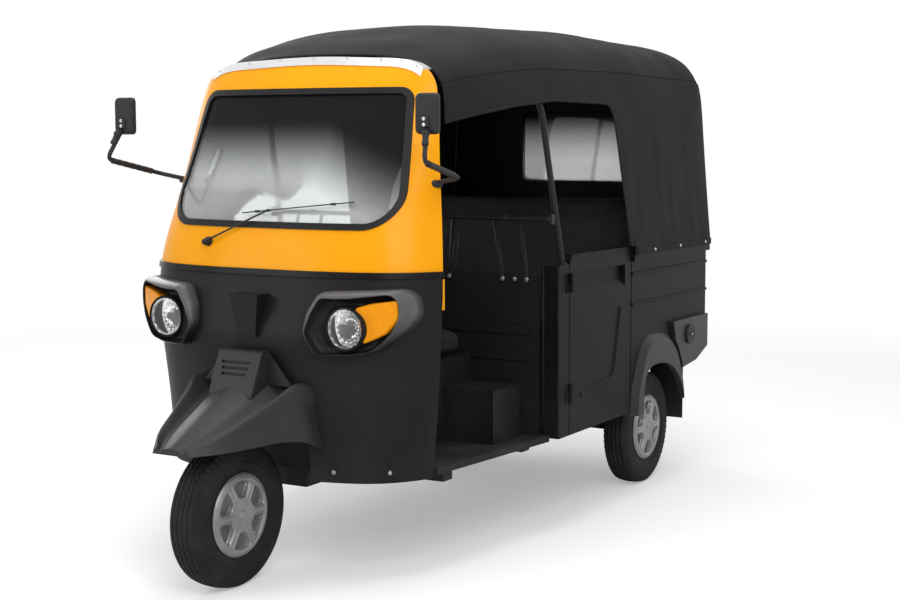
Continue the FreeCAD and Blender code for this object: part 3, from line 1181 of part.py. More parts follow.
doc.recompute()
for item in doc.Objects:
    if "Invalid" in item.State or "Error" in item.State:
        raise RuntimeError(f"{item.Label} failed: {item.State}")
nodes = {name: doc.getObjectsByLabel(name)[0] for name in node_names}
for name, item in nodes.items():
    if item.Shape.isNull() or not item.Shape.isValid() or not item.Shape.Solids:
        raise RuntimeError(f"{name} has no valid shape")
os.makedirs("parts", exist_ok=True)
for name, item in nodes.items():
    item.Shape.exportStep(f"parts/{name}.step")
    print(name, len(item.Shape.Solids))
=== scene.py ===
import bmesh
import bpy
import math
import numpy as np
from mathutils import Euler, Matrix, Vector


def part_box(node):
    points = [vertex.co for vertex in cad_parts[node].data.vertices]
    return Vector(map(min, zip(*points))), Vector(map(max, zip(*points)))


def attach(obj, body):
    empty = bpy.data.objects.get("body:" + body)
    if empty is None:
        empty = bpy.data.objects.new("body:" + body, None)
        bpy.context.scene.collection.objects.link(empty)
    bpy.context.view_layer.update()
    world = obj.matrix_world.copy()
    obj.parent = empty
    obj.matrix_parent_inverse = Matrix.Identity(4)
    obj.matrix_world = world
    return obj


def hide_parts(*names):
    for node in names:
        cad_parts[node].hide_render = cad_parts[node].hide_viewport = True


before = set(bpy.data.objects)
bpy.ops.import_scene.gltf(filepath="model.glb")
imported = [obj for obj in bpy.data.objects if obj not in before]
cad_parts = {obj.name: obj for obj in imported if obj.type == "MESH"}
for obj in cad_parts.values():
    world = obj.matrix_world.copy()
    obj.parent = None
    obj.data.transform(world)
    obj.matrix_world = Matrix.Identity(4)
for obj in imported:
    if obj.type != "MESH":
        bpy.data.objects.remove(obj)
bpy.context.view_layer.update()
scene = bpy.context.scene
scene.view_settings.view_transform = "Standard"
print("frame loaded:", len(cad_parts), "nodes")


# a socket of a material that can be reckoned with: an expression on it adds the Math nodes

class Signal:
    def __init__(self, tree, socket=None):
        self.tree, self.socket = tree, socket

    def plug(self, target, value):
        if isinstance(value, Signal):
            self.tree.links.new(value.socket, target)
        else:
            target.default_value = (*value, 1) if target.type == "RGBA" else value

    def node(self, kind, sockets=None, output=0, **settings):
        # any node: its type, its settings, which are set first, and the values or links of its sockets
        made = self.tree.nodes.new("ShaderNode" + kind)
        for key, value in settings.items():
            setattr(made, key, value)
        for key, value in (sockets or {}).items():
            self.plug(made.inputs[key], value)
        return Signal(self.tree, made.outputs[output] if made.outputs else None)

    def maths(self, operation, *values):
        return self.node("Math", dict(enumerate(values)), operation=operation)

    def __add__(self, other):
        return self.maths("ADD", self, other)

    def __sub__(self, other):
        return self.maths("SUBTRACT", self, other)

    def __rsub__(self, other):
        return self.maths("SUBTRACT", other, self)

    def __mul__(self, other):
        return self.maths("MULTIPLY", self, other)

    __radd__, __rmul__ = __add__, __mul__

    def ramp(self, low, high):
        # 0 up to the first value, 1 from the second, straight between them
        return self.node("MapRange", {"Value": self, "From Min": low, "From Max": high})

    def along(self, axis):
        return self.node("SeparateXYZ", {"Vector": self}, "XYZ".index(axis))

    def cloud(self, scale, detail=3, rough=0.5, stretch=None):
        # soft noise of about 0.3 to 0.7 at this place, stretched by a factor along each axis
        place = self.node("Mapping", {"Vector": self, "Scale": stretch}) if stretch else self
        return self.node("TexNoise", {"Vector": place, "Scale": scale, "Detail": detail, "Roughness": rough})

    def cells(self, scale, feature="F1", output=0):
        return self.node("TexVoronoi", {"Vector": self, "Scale": scale}, output, feature=feature)

    def mix(self, first, second):
        # two colours, mixed by this share from 0 to 1
        return self.node("Mix", {0: self, 6: first, 7: second}, 2, data_type="RGBA")

    def mixShaders(self, first, second):
        return self.node("MixShader", {0: self, 1: first, 2: second})

    def bump(self, strength, distance, **below):
        return self.node("Bump", {"Height": self, "Strength": strength, "Distance": distance, **below})


def newTree(owner):
    owner.use_nodes = True
    owner.node_tree.nodes.clear()
    return Signal(owner.node_tree)


finishes = {}
socketOf = {"metal": "Metallic", "shine": "Specular IOR Level", "coat": "Coat Weight",
            "coatRough": "Coat Roughness"}


def newMaterial(name):
    # a material's node tree, and the place of its surface on the object
    finishes[name] = bpy.data.materials.new(name)
    root = newTree(finishes[name])
    return root, root.node("TexCoord", output="Object")


def finish(name, look, **fixed):
    # a principled material: fixed values, and what its look makes of the surface's own place
    root, place = newMaterial(name)
    sockets = {socketOf[key]: value for key, value in fixed.items()}
    varied = zip(("Base Color", "Roughness", "Normal", "Metallic"), look(place))
    sockets.update({key: value for key, value in varied if value})
    root.node("OutputMaterial", {"Surface": root.node("BsdfPrincipled", sockets)})


# each look gives a colour and a roughness, and mostly a relief

def paintLook(dark, light, rough, grain=240, depth=0.0005, dust=0.3):
    # body paint: slow colour change, orange peel, and a little dust low down
    def look(place):
        slow, peel = place.cloud(3.1, 4), place.cloud(grain, 2, 0.4)
        low = (1 - place.along("Z").ramp(0.3, 0.8)) * slow.ramp(0.42, 0.7) * dust
        return (low.mix(slow.ramp(0.35, 0.65).mix(dark, light), (0.075, 0.07, 0.064)),
                slow * 0.12 + low * 0.3 + (rough - 0.06), peel.bump(0.25, depth))
    return look


def wornLook(patches, span, first, second, rough, relief):
    # a colour and a roughness that both follow slow patches, over a relief
    def look(place):
        slow = place.cloud(*patches)
        return slow.ramp(*span).mix(first, second), slow * rough[0] + rough[1], relief(place)
    return look


def mouldLook(dark, light, rough, grain, depth):
    # moulded plastic or rubber: pitted grain and faint flow marks
    return wornLook((6, 4), (0.3, 0.7), dark, light, (0.16, rough - 0.08),
                    lambda place: place.cells(grain).bump(0.35, depth))


def pebbles(place):
    grain, fine = (place.cells(scale, "DISTANCE_TO_EDGE") for scale in (330, 900))
    return (grain.ramp(0, 0.12) + fine * 0.5).bump(0.4, 0.0006)


# leathercloth is polished where people sit; tyres are paler where dust sits; the mat has small raised studs

leatherLook = wornLook((5, 4), (0.35, 0.65), (0.016, 0.016, 0.017), (0.03, 0.03, 0.031), (0.25, 0.4), pebbles)
tyreLook = wornLook((9, 5, 0.6), (0.4, 0.72), (0.017, 0.017, 0.018), (0.036, 0.035, 0.034), (0.3, 0.5),
                    lambda place: place.cloud(420, 2).bump(0.3, 0.0008))
castLook = wornLook((7, 4), (0.4, 0.7), (0.16, 0.16, 0.16), (0.075, 0.068, 0.06), (0.25, 0.5),
                    lambda place: place.cloud(180, 4, 0.7).bump(0.5, 0.001))
matLook = wornLook((5, 5, 0.6), (0.45, 0.75), (0.014, 0.014, 0.014), (0.034, 0.032, 0.029), (0.25, 0.6),
                   lambda place: (1 - place.cells(70).ramp(0.15, 0.4)).bump(0.5, 0.0015))


def rimLitAndShadedLook(place):
    # lamp frame: painted light and shade, grey above where the light falls, running into black towards its
    # foot
    grey, rough, relief = mouldLook((0.085, 0.085, 0.087), (0.11, 0.11, 0.112), 0.34, 520, 0.0004)(place)
    # grey above, black below, by height: painted highlight and painted shade
    return place.along("Z").ramp(0.83, 0.93).mix((0.012, 0.012, 0.012), grey), rough, relief


def clothLook(place):
    # coated cloth: the weave under the coating, soft creases, rubbed patches at random, and painted light, a
    # paler colour where it faces up
    waves = [(place.along(axis) * 2400).maths("SINE", place.along(axis) * 2400) for axis in "XYZ"]
    weave = waves[0] * waves[2] + waves[1] * waves[2] + waves[0] * waves[1]
    slow, patch = place.cloud(2.2, 5, 0.6), place.cloud(9, 4, 0.55, (1, 1, 0.5))
    up = place.node("NewGeometry", output="Normal").along("Z").ramp(0.5, 1)
    # painted light where the cloth faces up, plus rubbed patches at random
    wearAndTopLight = up * 0.45 + patch.ramp(0.5, 0.75) * 0.2
    plain = slow.ramp(0.35, 0.68).mix((0.018, 0.018, 0.019), (0.024, 0.024, 0.025))
    return (wearAndTopLight.mix(plain, (0.027, 0.027, 0.027)), patch * 0.2 + 0.6,
            weave.bump(0.25, 0.0003, Normal=patch.bump(0.3, 0.006)))


def silverLook(place):
    # silver paint: flake glints, as a share of metal, under a faint haze of brake dust
    flakes, slow = place.cells(900, output=1).along("X"), place.cloud(14, 4)
    return (slow.ramp(0.45, 0.75).mix((0.31, 0.31, 0.318), (0.22, 0.22, 0.225)), slow * 0.2 + 0.3, None,
            flakes * 0.25 + 0.3)


def brushedLook(colour, rough, stretch):
    def look(place):
        lines = place.cloud(60, 3, 0.6, stretch)
        return (lines.ramp(0.3, 0.7).mix(colour, tuple(0.82 * part for part in colour)), lines * 0.16 + rough,
                lines.bump(0.15, 0.0004))
    return look


def lensLook(bright, deep):
    # a coloured lens with small prisms behind it
    def look(place):
        prisms = place.cells(150)
        return (prisms.ramp(0.1, 0.8).mix(bright, deep), place.cloud(30, 3) * 0.1 + 0.1,
                prisms.bump(0.35, 0.0015))
    return look


def mirrorLook(place):
    slow = place.cloud(18, 3)
    return slow.ramp(0.4, 0.7).mix((0.86, 0.87, 0.88), (0.8, 0.81, 0.82)), slow.ramp(0.5, 0.8) * 0.05 + 0.04


def glassFinish(name, low, high, paintedReflection, tint, sideShade=0):
    # clear glass or film with painted shade and a painted reflection: a dark layer above one height, reaching
    # lower towards the left, a white diffuse layer below it that stands in for a reflection, and gloss that
    # fades where the shade is painted
    root, place = newMaterial(name)
    shade = (place.along("Z") + place.along("Y").ramp(0.16, 0.46) * sideShade).ramp(low, high)
    clear = root.node("BsdfTransparent", {"Color": tint})
    # bright is the white of the painted reflection, dark is the black of the painted shade
    bright, dark = (root.node("BsdfDiffuse", {"Color": colour})
                    for colour in ((0.9, 0.91, 0.92), (0.01, 0.01, 0.011)))
    gloss = root.node("BsdfGlossy", {"Color": (1, 1, 1), "Roughness": 0.03})
    # the clear glass mixed with the white layer below the shade: painted reflection
    withPaintedReflection = ((1 - shade) * (place.cloud(4, 4) * 0.3 + (paintedReflection - 0.15))).mixShaders(clear, bright)
    # less gloss where the shade is painted
    edge = root.node("Fresnel", {"IOR": 1.45}) * (1 - shade * 0.8)
    # the dark layer over the top: painted shade
    whole = edge.mixShaders((shade * 0.96).mixShaders(withPaintedReflection, dark), gloss)
    root.node("OutputMaterial", {"Surface": whole})


black, softBlack, tubeBlack = (0.0125, 0.0125, 0.013), (0.0165, 0.0165, 0.017), (0.02, 0.02, 0.021)
finish("black_paint", paintLook(black, softBlack, 0.4), shine=0.12)
# the black paint again, darker, for the posts, sides, tail, hatch and doors: painted shade, as the lamps light
# these sides more
finish("shaded_black_paint", paintLook((0.0068, 0.0068, 0.007), (0.0095, 0.0095, 0.0098), 0.42), shine=0.07)
finish("yellow_paint", paintLook((0.95, 0.372, 0.002), (0.985, 0.395, 0.002), 0.38, dust=0), shine=0.12,
       coat=0.08, coatRough=0.15)
finish("chassis_paint", paintLook(tubeBlack, (0.03, 0.03, 0.031), 0.55, 90, 0.001), shine=0.15)
finish("tube_paint", paintLook(black, tubeBlack, 0.4), shine=0.2)
for name, dark, light, rough, grain, depth, shine in (
        ("dark_plastic", (0.022, 0.022, 0.023), (0.03, 0.03, 0.031), 0.5, 520, 0.0006, 0.2),
        ("grey_plastic", (0.021, 0.021, 0.0215), (0.028, 0.028, 0.0285), 0.42, 520, 0.0006, 0.28),
        ("black_moulding", (0.004, 0.004, 0.004), (0.006, 0.006, 0.006), 0.3, 300, 0.0003, 0.14),
        ("seal_rubber", (0.007, 0.007, 0.007), (0.011, 0.011, 0.011), 0.45, 240, 0.0004, 0.2),
        ("flap_rubber", (0.018, 0.018, 0.018), (0.03, 0.029, 0.028), 0.62, 160, 0.001, 0.12),
        ("sewing_thread", (0.05, 0.05, 0.05), (0.07, 0.07, 0.07), 0.7, 900, 0.0002, 0.1)):
    finish(name, mouldLook(dark, light, rough, grain, depth), shine=shine)
finish("lamp_rim_grey", rimLitAndShadedLook, shine=0.35)
finish("canopy_cloth", clothLook, shine=0.08)
finish("leathercloth", leatherLook, shine=0.2)
finish("tyre_rubber", tyreLook, shine=0.12)
finish("wheel_silver", silverLook, coat=0.25, coatRough=0.2)
finish("wheel_dark", castLook, shine=0.25)
finish("bright_strip", brushedLook((0.80, 0.80, 0.81), 0.24, (1, 0.06, 1)), metal=0.85)
finish("zinc_steel", brushedLook((0.5, 0.5, 0.5), 0.3, (1, 1, 1)), metal=0.9)
finish("engine_metal", castLook, metal=0.4)
finish("floor_mat", matLook, shine=0.25)
finish("lamp_reflector", mirrorLook, metal=1.0)
finish("amber_lens", lensLook((0.96, 0.365, 0.003), (0.88, 0.30, 0.002)), shine=0.1, coat=0.12, coatRough=0.05)
finish("red_lens", lensLook((0.42, 0.012, 0.008), (0.2, 0.004, 0.003)), coat=0.8, coatRough=0.04)
# screen and rear window: painted shade above and a painted reflection below; lamp glass: a faint painted
# reflection only
glassFinish("screen_glass", 1.33, 1.57, 0.34, (0.93, 0.95, 0.95), 0.12)
glassFinish("window_film", 1.42, 1.63, 0.5, (0.93, 0.94, 0.94))
glassFinish("lamp_glass", 3, 4, 0.06, (0.99, 0.99, 0.99))

nodesOfFinish = {
    "chassis_paint": "chassis_frame rear_arms front_fork", "floor_mat": "floor_pan",
    "engine_metal": "engine_block", "bright_strip": "roof_strip",
    "black_paint": "cab_lower_panel driver_seat_base partition bench_base",
    "shaded_black_paint": "fence_posts body_sides rear_panel rear_hatch door_left door_right",
    "yellow_paint": "cab_upper_panel", "black_moulding": "belt_moulding", "screen_glass": "windscreen",
    "seal_rubber": "windscreen_seal badge_block", "lamp_glass": "headlamps", "amber_lens": "indicators",
    "grey_plastic": "headlamp_bezels front_mudguard tail_corners rear_fenders", "flap_rubber": "mudflaps",
    "dark_plastic": "dashboard mirrors wiper handlebar", "leathercloth": "driver_seat bench_seat",
    "tube_paint": "partition_frame canopy_frame", "red_lens": "tail_lamps", "canopy_cloth": "canopy",
    "window_film": "rear_window", "tyre_rubber": "front_tyre rear_tyre_left rear_tyre_right",
    "wheel_silver": "front_rim rear_rim_left rear_rim_right"}
for name, owners in nodesOfFinish.items():
    for owner in owners.split():
        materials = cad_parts[owner].data.materials
        materials.clear()
        materials.append(finishes[name])
print("finishes made:", len(finishes))


# shapes as grids of points

def surface(points, tone=0, aroundRows=False, aroundColumns=False, closedEnds=False, smooth=True):
    # a grid of points as one surface: each cell is a quad, and the first and last rows may be closed
    rows, columns = points.shape[:2]
    row, column = np.meshgrid(np.arange(rows if aroundRows else rows - 1),
                              np.arange(columns if aroundColumns else columns - 1), indexing="ij")
    nextRow, nextColumn = (row + 1) % rows, (column + 1) % columns
    corners = [row * columns + column, row * columns + nextColumn, nextRow * columns + nextColumn,
               nextRow * columns + column]
    faces = [np.stack(corners, -1).reshape(-1, 4)]
    if closedEnds:
        faces += [np.arange(columns)[None, ::-1], (rows - 1) * columns + np.arange(columns)[None]]
    return {"points": points.reshape(-1, 3), "faces": faces, "tones": [tone] * len(faces), "smooth": smooth}


def shell(rings, tone=0, closedEnds=True):
    # rings of points, each joined to the next
    return surface(np.array(rings), tone, aroundColumns=True, closedEnds=closedEnds)


def bothSides(parts):
    # the shapes, and the same shapes on the other side of the vehicle
    return parts + [{**part, "points": part["points"] * (1, -1, 1),
                     "faces": [face[:, ::-1] for face in part["faces"]]} for part in parts]


def unit(vectors):
    return vectors / np.linalg.norm(vectors, axis=-1, keepdims=True)


def around(count):
    # equal steps of a full turn
    return np.linspace(0, 2 * math.pi, count, endpoint=False)


def curve(start, corner, end, t):
    # a quadratic curve from one point to another, drawn towards a corner
    return (1 - t) ** 2 * start + 2 * t * (1 - t) * corner + t ** 2 * end


def lineThrough(points, count):
    # a smooth line: between each two points a cubic with the slope of their neighbours
    points = np.asarray(points, float)
    ends = np.vstack([2 * points[0] - points[1], points, 2 * points[-1] - points[-2]])
    at = np.linspace(0, len(points) - 1, count)
    spot = np.minimum(at.astype(int), len(points) - 2)
    t = (at - spot)[:, None]
    a, b, c, d = (ends[spot + step] for step in range(4))
    return b + 0.5 * ((c - a) * t + (2 * a - 5 * b + 4 * c - d) * t ** 2 + (3 * b - a - 3 * c + d) * t ** 3)


def bentPath(points, radius, steps=6):
    # straight runs joined by rounded bends: each bend is a quadratic curve that starts a radius before it
    points = np.asarray(points, float)
    path = [points[:1]]
    for before, corner, after in zip(points, points[1:], points[2:]):
        start, end = corner + unit(before - corner) * radius, corner + unit(after - corner) * radius
        path.append(curve(start, corner, end, np.linspace(0, 1, steps)[:, None]))
    return np.vstack(path + [points[-1:]])


def tube(path, wide, tall=None, sides=14, up=(0, 0, 1), tone=0, ring=False):
    # an oval carried along a path: at each point wide * cos to the side and tall * sin upwards
    path = np.asarray(path, float)
    way = unit(np.roll(path, -1, 0) - np.roll(path, 1, 0)) if ring else unit(np.gradient(path, axis=0))
    side = unit(np.cross(way, np.asarray(up, float)))
    over = np.cross(side, way)
    angle = around(sides)[None, :, None]
    wide, tall = (np.broadcast_to(np.asarray(size, float), len(path))[:, None, None]
                  for size in (wide, wide if tall is None else tall))
    points = path[:, None] + wide * np.cos(angle) * side[:, None] + tall * np.sin(angle) * over[:, None]
    return surface(points, tone, aroundRows=ring, aroundColumns=True, closedEnds=not ring)


def spun(profile, centre, axis="Y", steps=48, tone=0, smooth=True):
    # a profile of (along, radius) turned about an axis: radius * cos and sin on the other two
    profile, angle, index = np.asarray(profile, float), around(steps), "XYZ".index(axis)
    points = np.zeros((len(profile), steps, 3))
    points[..., index] = profile[:, :1]
    points[..., (index + 1) % 3] = profile[:, 1:] * np.cos(angle)
    points[..., (index + 2) % 3] = profile[:, 1:] * np.sin(angle)
    return surface(points + np.asarray(centre), tone, aroundColumns=True, smooth=smooth)


def roundBlock(low, high, radius):
    # a block with rounded edges: each point of its faces is drawn in to the edge's radius
    low, high = np.asarray(low, float), np.asarray(high, float)
    half, middle = (high - low) / 2, (high + low) / 2
    reach = radius * np.tan(np.linspace(0, math.pi / 4, 4))
    parts = []
    for axis in range(3):
        first, second = (axis + 1) % 3, (axis + 2) % 3
        ticks = [np.concatenate([-(half[k] - radius) - reach[::-1], half[k] - radius + reach])
                 for k in (first, second)]
        u, v = np.meshgrid(*ticks, indexing="ij")
        for sign in (1, -1):
            points = np.zeros(u.shape + (3,))
            points[..., first], points[..., second], points[..., axis] = u * sign, v, half[axis] * sign
            core = np.clip(points, -(half - radius), half - radius)
            parts.append(surface(middle + core + radius * unit(points - core)))
    return parts


def outlined(corners, radius, steps=6):
    # a closed outline with each corner rounded by a quadratic curve
    corners = np.asarray(corners, float)
    before, after = np.roll(corners, 1, 0), np.roll(corners, -1, 0)
    radius = np.broadcast_to(np.asarray(radius, float), len(corners))[:, None]
    start, end = corners + unit(before - corners) * radius, corners + unit(after - corners) * radius
    rounds = curve(start[:, None], corners[:, None], end[:, None], np.linspace(0, 1, steps)[None, :, None])
    return rounds.reshape(-1, 2)


def resampled(outline, count):
    # points at equal steps along a closed outline
    closed = np.vstack([outline, outline[:1]])
    length = np.concatenate([[0], np.cumsum(np.linalg.norm(np.diff(closed, axis=0), axis=1))])
    at = np.linspace(0, length[-1], count, endpoint=False)
    return np.stack([np.interp(at, length, closed[:, k]) for k in range(closed.shape[1])], -1)


def piece(name, body, parts, tones, slot, *replaced):
    # one object from several shapes, with its seams merged and its faces turned outwards
    starts = np.cumsum([0] + [len(part["points"]) for part in parts])
    groups = [(face + start, tone, part["smooth"]) for part, start in zip(parts, starts)
              for face, tone in zip(part["faces"], part["tones"])]
    mesh = bpy.data.meshes.new(name)
    mesh.from_pydata(np.vstack([part["points"] for part in parts]), [],
                     [corners for group in groups for corners in group[0].tolist()])
    for key, place in (("material_index", 1), ("use_smooth", 2)):
        values = [np.full(len(group[0]), group[place]) for group in groups]
        mesh.polygons.foreach_set(key, np.concatenate(values))
    made = bmesh.new()
    made.from_mesh(mesh)
    bmesh.ops.remove_doubles(made, verts=made.verts, dist=2e-6)
    bmesh.ops.dissolve_degenerate(made, edges=made.edges, dist=1e-7)
    bmesh.ops.recalc_face_normals(made, faces=made.faces)
    made.to_mesh(mesh)
    made.free()
    for tone in tones.split():
        mesh.materials.append(finishes[tone])
    item = bpy.data.objects.new(name, mesh)
    scene.collection.objects.link(item)
    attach(item, body)
    if replaced:
        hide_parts(*replaced)
    return item


def eased(places, values, at):
    # a cubic through given values, level where they turn, so that it never runs past them
    places, values, at = (np.asarray(part, float) for part in (places, values, at))
    gaps = np.diff(places)
    slopes = np.diff(values) / gaps
    rising = slopes[1:] * slopes[:-1] > 0
    total = np.where(rising, slopes[1:] + slopes[:-1], 1)
    middle = np.where(rising, 2 * slopes[1:] * slopes[:-1] / total, 0)
    tangents = np.concatenate([slopes[:1], middle, slopes[-1:]])
    spot = np.clip(np.searchsorted(places, at, "right") - 1, 0, len(gaps) - 1)
    gap, t = gaps[spot], (at - places[spot]) / gaps[spot]
    start = values[spot] * (1 + 2 * t) * (1 - t) ** 2 + gap * tangents[spot] * t * (1 - t) ** 2
    return start + values[spot + 1] * t ** 2 * (3 - 2 * t) + gap * tangents[spot + 1] * t ** 2 * (t - 1)


def stepped(value):
    # 0 to 1, level at both ends
    value = np.clip(value, 0, 1)
    return value * value * (3 - 2 * value)


rivet = {"height": 0.004, "sunk": 0.002, "stud": 0.0075, "strip": 0.0085}


def rivetHead(centre, axis, radius, sign=1):
    # a quarter of an oval turned about its axis, which points forwards or backwards
    turn = np.linspace(math.pi / 2, 0, 5)
    profile = np.column_stack([rivet["height"] * np.sin(turn), radius * np.cos(turn)])
    return spun(np.vstack([profile, [[-rivet["sunk"], radius]]]) * (sign, 1), centre, axis, 16)


def boltHead(centre, size, tone=0):
    # a hexagon head over its washer, pointing forwards
    washer = [(-0.001, 0), (-0.001, size * 1.5), (0.0014, size * 1.5), (0.0014, 0)]
    head = [(0.001, 0), (0.001, size), (size * 0.6, size), (size * 0.75, size * 0.86), (size * 0.75, 0)]
    return [spun(profile, centre, "X", steps, tone, smooth=False)
            for profile, steps in ((washer, 20), (head, 6))]


# the cab's outer surface, as in the source: a plan curve stretched to its size at each height

cab = {"heights": (0.348, 0.570, 0.850, 1.050, 1.210, 1.440, 1.700, 1.812),
       "fronts": (1.010, 1.027, 1.045, 0.998, 0.958, 0.850, 0.732, 0.648),
       "trails": (0.762, 0.757, 0.773, 0.785, 0.746, 0.702, 0.646, 0.586),
       "halves": (0.554, 0.571, 0.596, 0.610, 0.584, 0.548, 0.514, 0.496),
       "widthShares": (0, 0.32, 0.56, 0.78, 0.925, 1), "depthShares": (0, 0.005, 0.11, 0.32, 0.66, 1)}


def cabFront(side, height):
    # how far forward the cab's skin is at a place across and a height
    front, trail, half = (eased(cab["heights"], cab[key], height) for key in ("fronts", "trails", "halves"))
    share = np.clip(np.abs(side) / half, 0, 1)
    return front - (front - trail) * eased(cab["widthShares"], cab["depthShares"], share)


def onCab(places, ahead=0):
    # points on the cab's front, or some way in front of it, at places across and heights
    places = np.asarray(places, float)
    return np.column_stack([cabFront(places[:, 0], places[:, 1]) + ahead, places])


# tyres: one section round the wheel, its tread cut by zigzag grooves and its shoulders notched

tyre = {"radius": 0.249, "crown": 0.0055, "treadHalf": 0.044, "steps": 480, "zigzags": 60, "zig": 0.0026,
        "grooves": (-0.0285, -0.0098, 0.0098, 0.0285), "grooveHalf": 0.0029, "floorShare": 0.62,
        "grooveDepth": 0.007, "notches": 60, "notchDepth": 0.0026,
        "wall": ((0.0452, 0.2418), (0.0475, 0.2392), (0.0500, 0.2345), (0.0520, 0.2290), (0.0538, 0.2215),
                 (0.0550, 0.2130), (0.0558, 0.2040), (0.0560, 0.1950), (0.0557, 0.1860), (0.0550, 0.1790),
                 (0.0556, 0.1782), (0.0552, 0.1760), (0.0540, 0.1745), (0.0522, 0.1660), (0.0498, 0.1570),
                 (0.0474, 0.1500), (0.0480, 0.1485), (0.0466, 0.1460), (0.0446, 0.1400), (0.0436, 0.1345))}


def tyreShape(centre):
    # rows round the wheel, columns across it; a groove's columns shift sideways by a triangle wave
    angle = around(tyre["steps"])[:, None]
    offsets = np.array([-1, -tyre["floorShare"], tyre["floorShare"], 1]) * tyre["grooveHalf"]
    across = np.add.outer(tyre["grooves"], offsets).ravel()
    across = np.concatenate([[-tyre["treadHalf"]], across, [tyre["treadHalf"]]])
    deep = np.concatenate([[0], np.tile([0, 1, 1, 0], len(tyre["grooves"])), [0]]) * tyre["grooveDepth"]
    wave = np.abs((angle * tyre["zigzags"] / math.pi) % 2 - 1) * 2 - 1
    fade = 1 - stepped((np.abs(across) - 0.034) / 0.008)
    treadAcross = across + wave * tyre["zig"] * fade
    treadRadius = tyre["radius"] - tyre["crown"] * (across / tyre["treadHalf"]) ** 2 - deep + 0 * angle
    wall = np.array(tyre["wall"])
    notch = stepped(np.abs((angle * tyre["notches"] / math.pi) % 2 - 1) * 4 - 1.6)
    reach = stepped((wall[:, 1] - 0.222) / 0.006) * (1 - stepped((wall[:, 1] - 0.2405) / 0.002))
    wallAcross, wallRadius = (wall[:, k] - notch * reach * tyre["notchDepth"] * share
                              for k, share in ((0, 1), (1, 0.4)))
    y = np.hstack([-wallAcross[:, ::-1], treadAcross, wallAcross])
    radius = np.hstack([wallRadius[:, ::-1], treadRadius, wallRadius])
    points = np.stack([radius * np.cos(angle), y, radius * np.sin(angle)], -1)
    return [surface(points + np.asarray(centre), aroundRows=True, aroundColumns=True)]


# wheel covers: a height field over the disc with six windows between double-ribbed spokes

cover = {"radius": 0.143, "steps": 384, "spokes": 6, "windowIn": 0.061, "windowOut": 0.114,
         "spokeHalf": 0.0175, "windowDepth": 0.017, "blend": 0.006, "ribOff": 0.0085, "ribHalf": 0.0028,
         "ribHeight": 0.0032,
         "crown": 0.004, "lipDrop": 0.006, "beadHeight": 0.0018, "capRadius": 0.0125, "capHeight": 0.003,
         "capGroove": 0.002, "out": 0.0565, "darkFrom": 6,
         "barrel": ((-0.008, 0.1425), (-0.012, 0.139), (-0.016, 0.1335), (-0.030, 0.131), (-0.040, 0.121),
                    (-0.075, 0.120), (-0.085, 0.131), (-0.106, 0.132), (-0.111, 0.137), (-0.113, 0.135),
                    (-0.109, 0.129), (-0.088, 0.126), (-0.078, 0.115), (-0.075, 0.100), (-0.070, 0.095),
                    (-0.062, 0.095), (-0.060, 0.060), (-0.074, 0.044), (-0.090, 0.040), (-0.092, 0.020),
                    (-0.092, 0.0))}


def coverHeight(radius, angle):
    # how far a place stands out of the disc, and how deep inside a window it is
    sector = 2 * math.pi / cover["spokes"]
    off = radius * np.sin(np.abs((angle + sector / 2) % sector - sector / 2))
    gaps = np.stack([off - cover["spokeHalf"], radius - cover["windowIn"] + 0 * off,
                     cover["windowOut"] - radius + 0 * off])
    inside = -cover["blend"] * np.log(np.exp(-gaps / cover["blend"]).sum(0))
    window = stepped(inside / 0.0035 + 1)
    rib = np.exp(-((off - cover["ribOff"]) / cover["ribHalf"]) ** 2)
    rib = rib * stepped((radius - 0.052) / 0.01) * (1 - stepped((radius - 0.112) / 0.008))
    crown = cover["crown"] * (1 - (radius / cover["radius"]) ** 2)
    lip = cover["beadHeight"] * np.exp(-((radius - 0.126) / 0.003) ** 2)
    lip = lip - cover["lipDrop"] * stepped((radius - 0.134) / 0.009)
    cap = cover["capHeight"] * (1 - stepped((radius - cover["capRadius"]) / 0.0015))
    cap = cap - cover["capGroove"] * np.exp(-((radius - 0.0155) / 0.0013) ** 2)
    return crown + lip + cap + rib * cover["ribHeight"] * (1 - window) - window * cover["windowDepth"], window


def coverShape(centre, side):
    # the cover's face from the middle out, then its back: the rim's barrel, the drum and the hub
    radius = np.concatenate([np.linspace(0, 0.05, 16, endpoint=False),
                             np.linspace(0.05, 0.122, 50, endpoint=False),
                             np.linspace(0.122, cover["radius"], 14)])[:, None]
    angle = around(cover["steps"])[None]
    height, window = coverHeight(radius, angle)
    barrel = np.array(cover["barrel"])
    height = np.vstack([height, barrel[:, :1] + 0 * angle])
    radii = np.vstack([radius + 0 * angle, barrel[:, 1:] + 0 * angle])
    points = np.stack([radii * np.cos(angle), side * height, radii * np.sin(angle)], -1)
    shape = surface(points + np.asarray(centre), aroundColumns=True)
    quads = shape["faces"][0]
    dark = np.concatenate([window.ravel() > 0.75, np.full(len(barrel) * cover["steps"], False)])
    inside = dark[quads].all(1) | ((quads // cover["steps"]).min(1) > len(radius) + cover["darkFrom"])
    shape["faces"], shape["tones"] = [quads[~inside], quads[inside]], [0, 1]
    return [shape]


wheels = {"front": ("front_wheel", (1.175, 0, 0.249), 1, ""),
          "rear_left": ("rear_wheel_left", (-0.955, 0.555, 0.249), 1, "_left"),
          "rear_right": ("rear_wheel_right", (-0.955, -0.555, 0.249), -1, "_right")}
for key, (body, centre, side, hand) in wheels.items():
    place = key.split("_")[0]
    piece(key + "_tread", body, tyreShape(centre), "tyre_rubber", "tyre_rubber", place + "_tyre" + hand)
    face = (centre[0], centre[1] + side * cover["out"], centre[2])
    piece(key + "_cover", body, coverShape(face, side), "wheel_silver wheel_dark", "wheel_silver",
          place + "_rim" + hand)
print("wheels made")


# lamps: a faceted bowl with its bulb behind a clear dome, in a raised frame with an amber lens beside it

